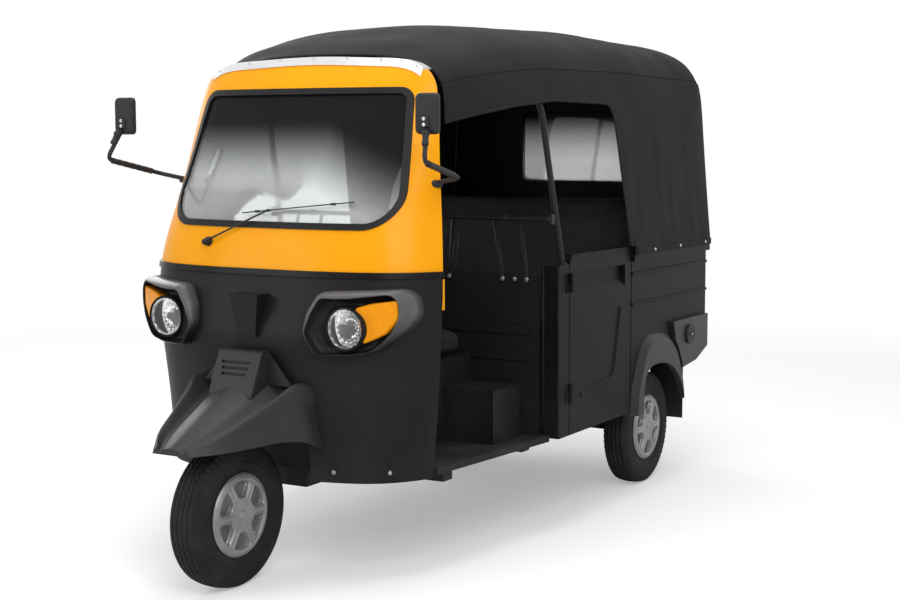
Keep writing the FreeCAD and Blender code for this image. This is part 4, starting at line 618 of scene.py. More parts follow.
lamp = {"centre": (1.039, 0.383, 0.884), "radius": 0.070, "dome": 0.012, "bowl": 0.046, "sectors": 16,
        "rings": 4, "facet": 0.0055, "front": 1.080, "inner": 0.200, "sweep": 0.9, "bore": 0.0735,
        "bowlRadius": 0.067, "lensRadius": 0.0698, "lensThick": 0.0022,
        "back": ((-0.004, 0.0695), (-0.06, 0.0695), (-0.06, 0.008)),
        "bulb": ((0.990, 0), (0.990, 0.014), (1.010, 0.0145), (1.021, 0.0125), (1.027, 0.007), (1.028, 0)),
        "frame": ((-1.35, 1.72), (-2.0, 0.7), (-2.2, -0.2), (-1.5, -1.35), (0.1, -1.37), (1.35, -1.15),
                  (2.38, -0.09), (2.74, 0.62), (2.68, 1.5), (2.3, 1.87)),
        "frameRound": (0.022, 0.018, 0.02, 0.022, 0.03, 0.028, 0.022, 0.022, 0.02, 0.016),
        "frameRings": ((0, 1, 0, -0.010), (0, 1, 0.5, 0), (0.002, 0.1, 0.66, 0), (0.009, 0.2, 0.86, 0),
                       (0.017, 0.3, 0.97, 0), (0.0215, 0.4, 1, 0), (0.0235, 0.45, 1, -0.0015),
                       (0.025, 0.5, 0.8, 0), (0.029, 0.6, 0.45, 0), (0.036, 0.75, 0.16, 0.004)),
        "wellRings": ((0.0735, 1.036), (0.0732, 1.0405), (0.0722, 1.042), (0.0708, 1.0405), (0.0702, 1.036),
                      (0.0702, 0.985)),
        "amber": ((0.5, 1.0), (1.18, 1.22), (2.35, 1.39), (2.36, 0.47), (1.8, -0.24), (0.84, -0.7)),
        "amberRound": 0.008, "amberDrop": 0.007, "rib": 0.0006, "ribPitch": 0.009,
        "amberRings": ((0, 0, -0.002), (0, 0.86, 0), (0.02, 0.93, 0), (0.06, 0.98, 0), (0.12, 1, 0),
                       (0.2, 1, 0), (0.3, 1, 0), (0.4, 1, 0), (0.55, 1, 0), (0.7, 1, 0), (0.85, 1, 0),
                       (0.995, 1, 0))}


def lampOutline(key, count):
    corners = np.asarray(lamp["centre"][1:]) + lamp["radius"] * np.asarray(lamp[key])
    return resampled(outlined(corners, lamp[key + "Round"], 8), count)


def lampRing(place, level, height, drop=0):
    # a share of the way from the cab's skin to the frame's front, which falls back with the square of
    # the distance from its inner end
    front = lamp["front"] - lamp["sweep"] * np.maximum(np.abs(place[:, 0]) - lamp["inner"], 0) ** 2 - drop
    skin = cabFront(place[:, 0], place[:, 1])
    return np.column_stack([skin + (front - skin) * level + height, place])


def reflectorShape():
    # a bowl, depth times one less the radius squared, with a pillow raised in each cell of its polar grid
    share = np.linspace(0.12, 1, 49)[:, None]
    angle = around(lamp["sectors"] * 12)[None]
    cellTurn, cellOut = (angle * lamp["sectors"] / (2 * math.pi)) % 1, (share * lamp["rings"]) % 1
    pillow = (1 - (2 * cellTurn - 1) ** 2) * (1 - (2 * cellOut - 1) ** 2)
    back = np.array(lamp["back"])
    bowl = lamp["facet"] * pillow - 0.004 - lamp["bowl"] * (1 - share ** 2)
    depth = np.vstack([bowl, back[:, :1] + 0 * angle])
    radius = np.vstack([lamp["bowlRadius"] * share, back[:, 1:]])
    points = np.stack([depth, radius * np.cos(angle), radius * np.sin(angle)], -1)
    return surface(points + lamp["centre"], aroundRows=True, aroundColumns=True)


def frameShape():
    # rings from the frame's outline in to the lamp: each is a step towards it, at most a share of the
    # room there, its level and its height over that; the rim is slimmer low down
    outline, centre = lampOutline("frame", 260), np.asarray(lamp["centre"][1:])
    reach = np.linalg.norm(outline - centre, axis=1, keepdims=True)
    way, room = (outline - centre) / reach, reach - lamp["bore"]
    slim = 0.4 + 0.6 * stepped((outline[:, 1:] - 0.83) / 0.1)
    rings = [lampRing(outline - way * np.minimum(step * slim, room * most), level, height)
             for step, most, level, height in lamp["frameRings"]]
    rings.append(onCab(centre + way * lamp["bore"], 0.007))
    rings += [np.column_stack([np.full(len(way), x), centre + way * radius])
              for radius, x in lamp["wellRings"]]
    return [shell(rings[:7], closedEnds=False), shell(rings[6:] + rings[:1], 1, closedEnds=False)]


def amberShape():
    # rings from the outline to the middle, rising to just under the frame's front, ribbed by a sine across
    outline = lampOutline("amber", 180)
    rings = []
    for share, level, height in lamp["amberRings"]:
        place = outline + (outline.mean(0) - outline) * share
        rib = lamp["rib"] * np.sin(place[:, 0] * 2 * math.pi / lamp["ribPitch"]) * stepped(share / 0.12)
        rings.append(lampRing(place, level, rib + height, lamp["amberDrop"]))
    return shell(rings)


def lensShape():
    # a thin dome: height times one less the share squared
    share = np.linspace(0, 1, 12)[:, None]
    height = lamp["centre"][0] - 0.002 + lamp["dome"] * (1 - share ** 2)
    face = np.hstack([height, lamp["lensRadius"] * share])
    return spun(np.vstack([face, face[::-1] - (lamp["lensThick"], 0)]), (0, *lamp["centre"][1:]), "X", 96)


bulb = spun(lamp["bulb"], (0, *lamp["centre"][1:]), "X", 28, 1)
piece("lamp_bowls", "body", bothSides([reflectorShape(), bulb]), "lamp_reflector seal_rubber", "lamp_glass")
piece("lamp_lenses", "body", bothSides([lensShape()]), "lamp_glass", "lamp_glass", "headlamps")
piece("lamp_frames", "body", bothSides(frameShape()), "lamp_rim_grey black_paint", "grey_plastic",
      "headlamp_bezels")
piece("indicator_lenses", "body", bothSides([amberShape()]), "amber_lens", "amber_plastic", "indicators")
print("lamps made")


# the canopy: one cloth from the strip on the brow over both sides and down the back, with its rear window

canopy = {"places": (-1.330, -1.100, -0.500, 0, 0.240, 0.470, 0.606),
          "crowns": (1.974, 1.980, 1.978, 1.960, 1.935, 1.880, 1.814),
          "eaves": (1.668, 1.672, 1.672, 1.668, 1.660, 1.650, 1.640),
          "halves": (0.668, 0.668, 0.664, 0.652, 0.628, 0.570, 0.508),
          "flares": (0.702, 0.702, 0.700, 0.692, 0.668, 0.612, 0.540),
          "outShares": (0, 0.36, 0.7, 0.9, 0.985, 1), "upShares": (1, 0.975, 0.86, 0.64, 0.3, 0),
          "skirt": 1.038, "tailLength": 0.150, "tailDrop": 0.150, "taper": 0.034, "tuck": 0.008,
          "turnSteps": 16,
          "edge": ((-0.613, 1.082), (-0.565, 1.082), (-0.452, 1.625), (-0.396, 1.660), (0.057, 1.661),
                   (0.300, 1.634), (0.490, 1.600), (0.640, 1.560)),
          "edgeRound": (0.01, 0.012, 0.05, 0.03, 0.06, 0.05, 0.05, 0.01),
          "hoops": (0.606, 0.132, -0.636, -1.392), "sag": 0.007, "thick": 0.0028,
          "windowHalf": 0.300, "windowLow": 1.322, "windowTop": 1.655, "windowPower": 14,
          "studHeight": 1.052, "studSide": 0.7035, "studBack": -1.4815, "studPlaces": (-0.806, -1.087, -1.391),
          "studAcross": (-0.55, -0.18, 0.18, 0.55), "stripRise": 0.004,
          "stripRivets": ((-0.432, 1.759), (-0.288, 1.784), (-0.146, 1.792), (0, 1.794), (0.146, 1.792),
                          (0.288, 1.784), (0.432, 1.759))}


def canopySection(place, turn):
    # crown, eave and foot of the section at one place; past the last one the rear edge turns down
    crown, eave, half, flare = (eased(canopy["places"], canopy[key], place)
                                for key in ("crowns", "eaves", "halves", "flares"))
    fall = 1 - np.cos(turn)
    return (place - canopy["tailLength"] * np.sin(turn), crown - canopy["tailDrop"] * fall,
            eave - canopy["tailDrop"] * fall / 2, half - canopy["taper"] * fall, flare - canopy["tuck"] * fall)


def canopyEdge(place):
    # height of the cloth's lower edge: the side opening's outline, and behind it the skirt
    line = outlined(canopy["edge"], canopy["edgeRound"], 7)[7:-7]
    line = np.vstack([canopy["edge"][0], line, canopy["edge"][-1]])
    return np.where(place < canopy["edge"][0][0], canopy["skirt"], np.interp(place, line[:, 0], line[:, 1]))


def canopyGrid():
    # stations along the vehicle, and across each the crown's curve and a straight side down to the edge
    opening, last, turned = canopy["edge"][0][0], canopy["places"][0], canopy["turnSteps"]
    places = np.concatenate([np.linspace(0.606, -0.38, 92), np.linspace(-0.384, -0.612, 52),
                             [opening, opening - 2e-5], np.linspace(-0.625, last, 62)])
    turns = np.concatenate([np.zeros(len(places)), np.linspace(0, math.pi / 2, turned + 1)[1:]])
    places = np.concatenate([places, np.full(turned, last)])
    x, crown, eave, half, flare = (part[:, None] for part in canopySection(places, turns))
    across = np.linspace(-5, 5, 73)[None]
    shares = [np.concatenate([sign * np.array(canopy[key][:0:-1]), canopy[key]])
              for key, sign in (("outShares", -1), ("upShares", 1))]
    out, up = (eased(np.arange(-5, 6), share, across) for share in shares)
    roof = np.stack([x + 0 * out, half * out, eave + (crown - eave) * up], -1)
    low = canopyEdge(x)
    share = np.linspace(0, 1, 33)[1:][None]
    height = eave + (low - eave) * share
    wide = half + (flare - half) * (eave - height) / (eave - canopy["skirt"])
    left = np.stack([x + 0 * share, wide, height], -1)
    right = left[:, ::-1] * (1, -1, 1)
    return np.concatenate([right, roof, left], 1)


def canopySlack(points):
    # how far the cloth stands off its taut shape: it dips between the hoops and hangs in soft folds
    x, y, z = points[..., 0], points[..., 1], points[..., 2]
    hand = np.sign(y)
    sag = np.zeros_like(x)
    for front, back in zip(canopy["hoops"], canopy["hoops"][1:]):
        share = np.clip((front - x) / (front - back), 0, 1)
        sag -= canopy["sag"] * np.sin(math.pi * share) ** 2 * (front - back) / 0.76
    top, side = stepped((z - 1.62) / 0.2), stepped((1.70 - z) / 0.25) * stepped((z - 1.04) / 0.12)
    folds = 0.0012 * np.sin(x * 31 + 1.7 * np.sin(x * 7.3 + 0.6) + z * 2.2 + hand)
    folds = folds + 0.0007 * np.sin(x * 57 - z * 9 + 2 * hand)
    pulled = 0.0014 * np.sin((x * 0.8 + z * 1.3) * 24 + hand)
    pulled = pulled * stepped((z - 1.45) / 0.2) * stepped((-0.9 - x) / 0.3)
    ripple = 0.0016 * np.sin(x * 22 + y * 6.1 + 1.3 * np.sin(y * 5 + x * 3)) + 0.0012 * np.sin(y * 19 + x * 8)
    ends = stepped((0.606 - x) / 0.05) * stepped((x + 1.44) / 0.06)
    return (sag * top + (folds + pulled) * side + ripple * stepped((z - 1.72) / 0.1)) * ends


def canopyBack(last):
    # the back: from the last section and the hem below it in to the window's rounded outline
    outer = np.vstack([last, np.linspace(last[-1], last[0], 62)[1:-1]])
    middle = np.array([0, (canopy["windowLow"] + canopy["windowTop"]) / 2])
    half = np.array([canopy["windowHalf"], (canopy["windowTop"] - canopy["windowLow"]) / 2])
    way = outer[:, 1:] - middle
    power = canopy["windowPower"]
    inner = middle + way / ((np.abs(way / half) ** power).sum(1) ** (1 / power))[:, None]
    share = np.linspace(0, 1, 26)[:, None, None]
    points = outer[None, :, 1:] * (1 - share) + inner[None] * share
    waves = np.sin(points[..., 0] * 17 + 1.2 * np.sin(points[..., 1] * 8))
    bow = 0.003 * np.sin(math.pi * share[..., 0]) * waves
    return np.concatenate([outer[0, 0] - bow[..., None], points], -1)


def slackened(points):
    # the cloth's grid moved out along its own normals
    normal = np.cross(np.gradient(points, axis=0), np.gradient(points, axis=1))
    normal /= np.maximum(np.linalg.norm(normal, axis=-1, keepdims=True), 1e-12)
    onTop = normal[100, 80, 2]
    return points + normal * (np.sign(onTop) * canopySlack(points))[..., None]


cloth = slackened(canopyGrid())
back = canopyBack(cloth[-1])
roofCloth = piece("canopy_cloth", "body", [surface(cloth), surface(back, aroundColumns=True)], "canopy_cloth",
                  "canopy_cloth", "canopy")
solid = roofCloth.modifiers.new("thickness", "SOLIDIFY")
solid.thickness, solid.offset = canopy["thick"], -1

# its hem: welts along the opening and the eaves, a band round the skirt and piping round the window

opening = cloth[:146, -1]
skirtLine = np.vstack([cloth[147:, -1], np.linspace(cloth[-1, -1], cloth[-1, 0], 40)[1:-1],
                       cloth[147:, 0][::-1]])


def outOfSkirt(points):
    return unit(points * (1, 1, 0) - (-0.9, 0, 0))


bandRows = np.array([(0, 0), (0.004, 0.0018), (0.026, 0.0018), (0.028, 0)])[:, None, :, None]
band = surface(skirtLine + bandRows[:, :, 0] * (0, 0, 1) + outOfSkirt(skirtLine) * bandRows[:, :, 1])
eaves = [tube(cloth[:, column] + (0, 0, 0.001), 0.0024, 0.0018, 8, (0, 0.3, 1)) for column in (41, 95)]
windowLine = back[-1]
piping = tube(windowLine - (0.002, 0, 0), 0.006, 0.0035, 10, (1, 0, 0), ring=True)
hemParts = [tube(line, 0.0042, 0.0055, 10) for line in (opening, opening * (1, -1, 1))] + [band, piping]
hemParts += eaves
hem = piece("canopy_hem", "body", hemParts, "canopy_cloth", "canopy_cloth")

studs = bothSides([rivetHead((x, canopy["studSide"], canopy["studHeight"]), "Y", rivet["stud"])
                   for x in canopy["studPlaces"]])
studs += [rivetHead((canopy["studBack"], y, canopy["studHeight"]), "X", rivet["stud"], -1)
          for y in canopy["studAcross"]]
piece("canopy_studs", "body", studs, "zinc_steel", "bright_strip")
rivets = [rivetHead(spot, "X", rivet["strip"]) for spot in onCab(canopy["stripRivets"], canopy["stripRise"])]
piece("strip_rivets", "body", rivets, "zinc_steel", "bright_strip")
print("canopy trim made")


# mirrors: domed shells on bent arms, with a clamp, a sleeve and the glass towards the driver

mirror = {"head": (0.941, 0.646, 1.592), "elbow": (1.005, 0.675, 1.436), "bend": (0.742, 0.652, 1.380),
          "base": (0.730, 0.541, 1.358), "half": (0.043, 0.067), "round": 0.018, "tube": 0.008, "turn": 0.030,
          "shell": ((-0.0105, 0.0045), (-0.0135, 0.0042), (-0.0138, 0.0015), (-0.0125, 0), (-0.002, 0),
                    (0.004, 0.0016), (0.009, 0.006), (0.0115, 0.012), (0.0125, 0.02), (0.0131, 0.034)),
          "glass": ((-0.0106, 0.90), (-0.0122, 0.90), (-0.0126, 0.88)),
          "root": ((-0.02, 0.017), (-0.004, 0.017), (0.006, 0.0155), (0.014, 0.012), (0.03, 0.0105)),
          "collar": ((0, 0.0105), (0.2, 0.0125), (0.3, 0.0105), (0.7, 0.0105), (0.8, 0.014), (1, 0.012))}


def mirrorShape(rings, tone):
    # rings of a rounded outline, each at its depth and with its share of the outline's size
    corners = np.array([(-1, -1), (1, -1), (1, 1), (-1, 1)]) * mirror["half"]
    outline = resampled(outlined(corners, mirror["round"], 8), 120)
    return shell([np.column_stack([np.full(120, depth), outline * share]) + mirror["head"]
                  for depth, share in rings], tone)


def mirrorArm():
    # the bent tube, a waved sleeve on its rise, a collar below the shell, and the root on the cab
    base, bend, elbow, head = (np.array(mirror[key]) for key in ("base", "bend", "elbow", "head"))
    arm = bentPath([base - (0, 0.02, 0), bend, elbow, head - (0, 0, 0.03)], mirror["turn"], 9)
    sleeve = bend + (elbow - bend) * np.linspace(0.2, 0.9, 24)[:, None]
    bulge = 0.0108 + 0.0006 * np.cos(np.linspace(0, 2 * math.pi * 6, 24))
    collar = elbow + (head - elbow) * np.linspace(0.34, 0.62, 14)[:, None]
    wide = np.interp(np.linspace(0, 1, 14), *zip(*mirror["collar"]))
    root = np.array(mirror["root"])
    plate = roundBlock(head + (0.010, -0.016, -0.045), head + (0.0195, 0.016, -0.008), 0.004)
    bolts = [part for height in (-0.017, -0.036) for part in boltHead(head + (0.0195, 0, height), 0.004, 2)]
    return [tube(arm, mirror["tube"], sides=18), tube(sleeve, bulge, sides=16), tube(collar, wide, sides=18),
            tube(base + root[:, :1] * (0, 1, 0), root[:, 1], sides=20)] + plate + bolts


shellRings = [(depth, 1 - 1.6 * inset / np.linalg.norm(mirror["half"])) for depth, inset in mirror["shell"]]
mirrorParts = [mirrorShape(shellRings, 0), mirrorShape(mirror["glass"], 1)] + mirrorArm()
piece("mirror_set", "body", bothSides(mirrorParts), "dark_plastic lamp_reflector zinc_steel", "black_plastic",
      "mirrors")


# wiper: a hub on the panel, a sprung arm and a blade that follows the screen

wiper = {"pivot": (-0.240, 1.151), "tip": (0.010, 1.265), "low": (-0.100, 1.254), "high": (0.336, 1.298),
         "armStand": 0.022, "bladeStand": 0.009, "railStand": 0.015, "railBow": 0.008, "clips": (0.16, 0.84),
         "hub": ((-0.004, 0), (-0.004, 0.017), (0.006, 0.0165), (0.009, 0.0125), (0.020, 0.012),
                 (0.027, 0.0105), (0.0295, 0.007), (0.030, 0)),
         "pin": ((0.008, 0), (0.008, 0.005), (0.0245, 0.005), (0.026, 0.0035), (0.026, 0))}
armLine = onCab(np.linspace(wiper["pivot"], wiper["tip"], 50), wiper["armStand"])
blade, rail = (onCab(np.linspace(wiper["low"], wiper["high"], 50), wiper[key])
               for key in ("bladeStand", "railStand"))
along = np.linspace(0, 1, 50)
bow = wiper["railBow"] * np.sin(math.pi * along)
armWide = np.interp(along, (0, 0.3, 0.34, 1), (0.0075, 0.006, 0.0045, 0.0035))
wiperParts = [tube(armLine, armWide, 0.0032, 12), tube(blade, 0.0016, 0.006, 10, (1, 0, 0)),
              tube(rail + np.outer(bow, (1, 0, 0)), 0.0028, 0.0022, 10)]
wiperParts += [spun(wiper[key], onCab([wiper[spot]])[0], "X", steps)
               for key, spot, steps in (("hub", "pivot", 28), ("pin", "tip", 16))]
for share in wiper["clips"]:
    spot = blade[int(share * 49)]
    wiperParts += roundBlock(spot - (0.004, 0.007, 0.004), spot + (0.012, 0.007, 0.004), 0.0015)
piece("wiper_set", "body", wiperParts, "dark_plastic", "black_plastic", "wiper")
print("mirrors and wiper made")


# seats: each cushion is a rounded block that is blown up as cloth, then sat flat and stitched

benchSeams = (-0.42, -0.21, 0, 0.21, 0.42)
seats = {"driver_cushion": {"low": (0.120, -0.330, 0.690), "high": (0.560, 0.330, 0.785), "cell": 0.009,
                            "cap": 0.020, "replaced": ["driver_seat"], "seams": (-0.11, 0.11), "lean": 0},
         "driver_back": {"low": (0.084, -0.190, 0.850), "high": (0.154, 0.190, 1.180), "cell": 0.009,
                         "cap": 0.016, "replaced": [], "seams": (-0.1, 0.1), "lean": 0},
         "bench_cushion": {"low": (-0.790, -0.632, 0.700), "high": (-0.470, 0.632, 0.810), "cell": 0.011,
                           "cap": 0.024, "replaced": ["bench_seat"], "seams": benchSeams, "lean": 0},
         "bench_back": {"low": (-0.900, -0.632, 0.700), "high": (-0.790, 0.632, 1.300), "cell": 0.013,
                        "cap": 0.024, "replaced": [], "seams": benchSeams, "lean": 0.090}}


padding = {"quality": 5, "mass": 0.3, "pressure": 4, "frames": 20, "shrinkShare": 0.72, "roundShare": 0.22,
           "grooveDepth": 0.007, "grooveHalf": 0.009, "weltDepth": 0.003, "weltHalf": 0.006, "rest": 0.0006}


def blownUp(item, cell, cap):
    # remesh evenly, blow up as cloth from inside, and cap how far each point moves
    shape = item.modifiers.new("even", "REMESH")
    shape.mode, shape.voxel_size = "VOXEL", cell
    item.data = bpy.data.meshes.new_from_object(item.evaluated_get(bpy.context.evaluated_depsgraph_get()))
    item.modifiers.clear()
    start, swollen = (np.empty(len(item.data.vertices) * 3) for step in range(2))
    item.data.vertices.foreach_get("co", start)
    cloth = item.modifiers.new("swell", "CLOTH")
    cloth.settings.quality, cloth.settings.mass = padding["quality"], padding["mass"]
    cloth.settings.use_pressure, cloth.settings.uniform_pressure_force = True, padding["pressure"]
    cloth.settings.effector_weights.gravity = 0
    cloth.point_cache.frame_start, cloth.point_cache.frame_end = 1, padding["frames"]
    for step in range(padding["frames"]):
        scene.frame_set(step + 1)
    view = item.evaluated_get(bpy.context.evaluated_depsgraph_get())
    view.data.vertices.foreach_get("co", swollen)
    item.modifiers.clear()
    scene.frame_set(1)
    start, move = start.reshape(-1, 3), (swollen - start).reshape(-1, 3)
    far = np.linalg.norm(move, axis=1, keepdims=True)
    return start + move * np.minimum(1, cap / np.maximum(far, 1e-9))


def stitched(points, seams, up, low, high):
    # sewn channels: a groove at each seam, deepest in the middle of the face that is sat on, and a welt
    middle = (low + high) / 2
    face = stepped((points[:, up] - middle[up]) / 0.02)
    for seam in seams:
        groove = np.exp(-((points[:, 1] - seam) / padding["grooveHalf"]) ** 2)
        points[:, up] -= padding["grooveDepth"] * groove * face
    welt = np.exp(-((points[:, up] - middle[up]) / padding["weltHalf"]) ** 2)
    flatWay = points - middle
    flatWay[:, up] = 0
    return points - unit(flatWay) * (welt * padding["weltDepth"])[:, None]


for name, plan in seats.items():
    low, high = np.array(plan["low"]), np.array(plan["high"])
    up = 2 if name.endswith("cushion") else 0
    shrink = plan["cap"] * padding["shrinkShare"]
    block = roundBlock(low + shrink, high - shrink, min(high - low) * padding["roundShare"])
    item = piece(name, "body", block, "leathercloth", "seat_cover", *plan["replaced"])
    points = stitched(blownUp(item, plan["cell"], plan["cap"]), plan["seams"], up, low, high)
    for axis in {up, 2}:
        points[:, axis] = np.maximum(points[:, axis], low[axis] + padding["rest"])
    points[:, 0] -= plan["lean"] * (points[:, 2] - low[2]) / (high[2] - low[2])
    item.data.vertices.foreach_set("co", points.ravel())
    item.data.polygons.foreach_set("use_smooth", np.full(len(item.data.polygons), True))
    item.data.update()
    fine = item.modifiers.new("fine", "SUBSURF")
    fine.levels = fine.render_levels = 1
    print("cushion made:", name, len(points))


# bars behind the driver: a cross bar between the posts, slanted flat stays and the bolts at their feet

stays = {"barX": 0.069, "barZ": 1.214, "barHalf": 0.655, "barRadius": 0.009, "footX": 0.087, "thick": 0.0022,
         "lines": (((0.225, 1.208), (0.214, 0.972), 0.011), ((0.252, 1.206), (0.236, 1.005), 0.004),
                   ((0.406, 1.206), (0.453, 0.976), 0.008), ((0.524, 1.206), (0.557, 0.978), 0.008)),
         "bolts": (0.214, 0.453, 0.505, 0.557), "boltZ": 0.984, "bracketLow": (0.022, 0.003, 0.020),
         "bracketHigh": (0.010, 0.003, 0.020), "clampY": 0.452,
         "clamp": (0.0095, 0.0125, 0.013, 0.013, 0.013, 0.0125, 0.0095)}


def stayShapes():
    # the cross bar is a tube; each stay is a flat strap that bends forward at its foot, over the panel
    bar = np.array([stays["barX"], 0, stays["barZ"]])
    line = bar + np.linspace(-1, 1, 60)[:, None] * (0, stays["barHalf"], 0)
    shapes = [tube(line, stays["barRadius"], sides=16)]
    for top, foot, half in stays["lines"]:
        top, foot = np.array(top), np.array(foot)
        knee = top + (foot - top) * 0.82
        spots = np.vstack([top, knee, (foot + knee) / 2, foot])
        depths = stays["barX"], stays["barX"] + 0.012, stays["footX"], stays["footX"]
        for side in (1, -1):
            line = bentPath(np.column_stack([depths, spots * (side, 1)]), 0.012)
            shapes.append(tube(line, half, stays["thick"], 8, (1, 0, 0)))
    for side in (1, -1):
        for place in stays["bolts"]:
            shapes += boltHead((stays["footX"] + 0.001, side * place, stays["boltZ"]), 0.0062, 1)
        end = bar + (0, side * stays["barHalf"], 0)
        shapes += roundBlock(end - stays["bracketLow"], end + stays["bracketHigh"], 0.002)
        clamp = bar + (0, side * stays["clampY"], 0) + np.linspace(-0.5, 0.5, 7)[:, None] * (0, 0.022, 0)
        shapes.append(tube(clamp, stays["clamp"], sides=18))
    return shapes


piece("driver_stays", "body", stayShapes(), "tube_paint zinc_steel", "black_paint", "partition_frame")


# handlebar: ribbed grips with a flange, a clamp and lever on each side, and the dial on the cowl

bars = {"inner": (0.894, 0.075, 1.022), "end": (0.744, 0.290, 1.002), "grip": 0.112, "radius": 0.0176,
        "rib": 0.0011, "ribs": 15, "flange": 0.0245, "clampGap": 0.018, "clampHalf": 0.011, "leverOut": 0.026,
        "leverBend": 0.07, "leverTip": 0.012, "podLow": (-0.014, -0.013, 0.010),
        "podHigh": (0.012, 0.013, 0.030),
        "marks": 9, "markStep": 30, "firstMark": -120, "markFrom": 0.022, "markTo": 0.027,
        "clamp": (0.0125, 0.0165, 0.017, 0.017, 0.017, 0.0165, 0.0125),
        "lever": (0.008, 0.0065, 0.0055, 0.0055, 0.0072, 0.004), "dial": (0.869, 0.0, 1.0645),
        "dialFace": ((0, 0), (0, 0.0365), (0.006, 0.0372), (0.0085, 0.0355), (0.0085, 0.0325), (0.004, 0.0315),
                     (0.003, 0))}
barEnd = np.array(bars["end"])
barWay = unit(barEnd - bars["inner"])


def gripShape():
    # radius + rib * |sin(ribs * pi * share)|, with a rounded end outside and a flange inside
    share = np.linspace(0, 1, 170)
    path = barEnd + barWay * (0.0015 - bars["grip"] * share)[:, None]
    radius = bars["radius"] + bars["rib"] * np.abs(np.sin(share * bars["ribs"] * math.pi))
    radius = radius * np.interp(share, (0, 0.02, 0.05), (0.72, 0.96, 1))
    flange = np.interp(share, (0.93, 0.95, 0.98, 1), (bars["radius"], bars["flange"], bars["flange"], 0.016))
    return tube(path, np.where(share > 0.93, flange, radius), sides=24)


def leverShapes():
    # a clamp round the bar, and a lever in front of the grip: a flattened tube on a smooth line
    ahead = np.array([barWay[1], -barWay[0], 0])
    clampAt = barEnd - barWay * (bars["grip"] + bars["clampGap"])
    clampLine = clampAt + barWay * (np.linspace(-1, 1, 7) * bars["clampHalf"])[:, None]
    clamp = tube(clampLine, bars["clamp"], sides=20, tone=1)
    line = lineThrough([clampAt, clampAt + ahead * bars["leverOut"],
                        barEnd - barWay * bars["leverBend"] + ahead * (bars["leverOut"] + 0.003),
                        barEnd - barWay * bars["leverTip"] + ahead * (bars["leverOut"] - 0.002)], 48)
    wide = np.interp(np.linspace(0, 1, 48), (0, 0.2, 0.5, 0.93, 0.97, 1), bars["lever"])
    pod = roundBlock(clampAt + bars["podLow"], clampAt + bars["podHigh"], 0.004)
    return [clamp, tube(line, wide, 0.0036, 12, tone=1)] + pod


dialFace = [spun(bars["dialFace"], bars["dial"], "Z", 48)]
for mark in range(bars["marks"]):
    turn = math.radians(bars["firstMark"] + bars["markStep"] * mark)
    reach = np.array([math.cos(turn), math.sin(turn), 0])
    ticks = np.array(bars["dial"]) + (0, 0, 0.0038) + reach * np.array([[bars["markFrom"]], [bars["markTo"]]])
    dialFace.append(tube(ticks, 0.0008, 0.0004, 6, tone=1))
needle = np.array(bars["dial"]) + (0, 0, 0.0042) + np.array([[-0.5, 0.86, 0]]) * np.array([[-0.005], [0.02]])
dialFace.append(tube(needle, (0.0015, 0.0005), 0.0006, 6, tone=1))
piece("handlebar_set", "steering", bothSides([gripShape()] + leverShapes()) + dialFace,
      "dark_plastic zinc_steel", "black_plastic")


# tail: ribbed lamp lenses in their rims, the filler cap and the hatch's lock

tail = {"lamp": (-1.456, 0.560, 0.800), "lensRadius": 0.0355, "lensStand": 0.0145, "lensDome": 0.0085,
        "lensRib": 0.0004, "lensRibs": 9,
        "rim": ((0, 0), (0, 0.042), (-0.010, 0.042), (-0.0155, 0.0405), (-0.0165, 0.0385), (-0.0155, 0.0362),
                (-0.010, 0.0358), (-0.009, 0)),
        "cap": (-1.210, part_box("tail_corners")[1][1], 0.643), "lock": (-1.4795, 0, 0.560),
        "capFace": ((-0.006, 0.0), (-0.006, 0.0445), (0.0005, 0.0450), (0.0020, 0.0425), (0.0005, 0.0385),
                    (-0.0005, 0.0345), (0.0016, 0.0315), (0.0022, 0.0250), (0.0010, 0.0215), (0.0012, 0.0)),
        "capLock": ((0.005, 0), (0.005, 0.0048), (0.0072, 0.0044), (0.0072, 0)),
        "lockFace": ((0.004, 0), (0.004, 0.017), (-0.004, 0.0165), (-0.006, 0.014), (-0.0065, 0))}


def tailLens():
    # a shallow dome with rings: depth times one less the share squared, plus a small cosine
    share = np.linspace(0, 1, 60)
    ribs = tail["lensRib"] * np.cos(share * 2 * math.pi * tail["lensRibs"])
    height = tail["lensStand"] + tail["lensDome"] * (1 - share ** 2) + ribs
    profile = np.column_stack([-height, tail["lensRadius"] * share])
    return spun(np.vstack([profile, (-0.006, tail["lensRadius"]), (-0.006, 0)]), tail["lamp"], "X", 64)


capAt, lockAt = np.array(tail["cap"]), np.array(tail["lock"])
lampParts = [tailLens(), spun(tail["rim"], tail["lamp"], "X", 64, 1)]
piece("tail_lenses", "body", bothSides(lampParts), "red_lens dark_plastic", "red_plastic", "tail_lamps")
capBar = roundBlock(capAt - (0.020, 0.001, 0.0055), capAt + (0.020, 0.006, 0.0055), 0.0025)
capParts = [spun(tail["capFace"], capAt, "Y", 64)] + capBar + [spun(tail["capLock"], capAt, "Y", 20, 1)]
piece("filler_cap", "body", capParts, "dark_plastic zinc_steel", "black_plastic")
lockParts = [spun(tail["lockFace"], lockAt, "X", 32, 1)]
lockParts += roundBlock(lockAt - (0.012, 0.004, 0.030), lockAt + (-0.004, 0.004, 0.012), 0.0022)
piece("hatch_lock", "engine_hatch", lockParts, "dark_plastic zinc_steel", "black_plastic")


# small fixings: beads along the door posts, bolts on the cab's foot, and the belt's edge strips

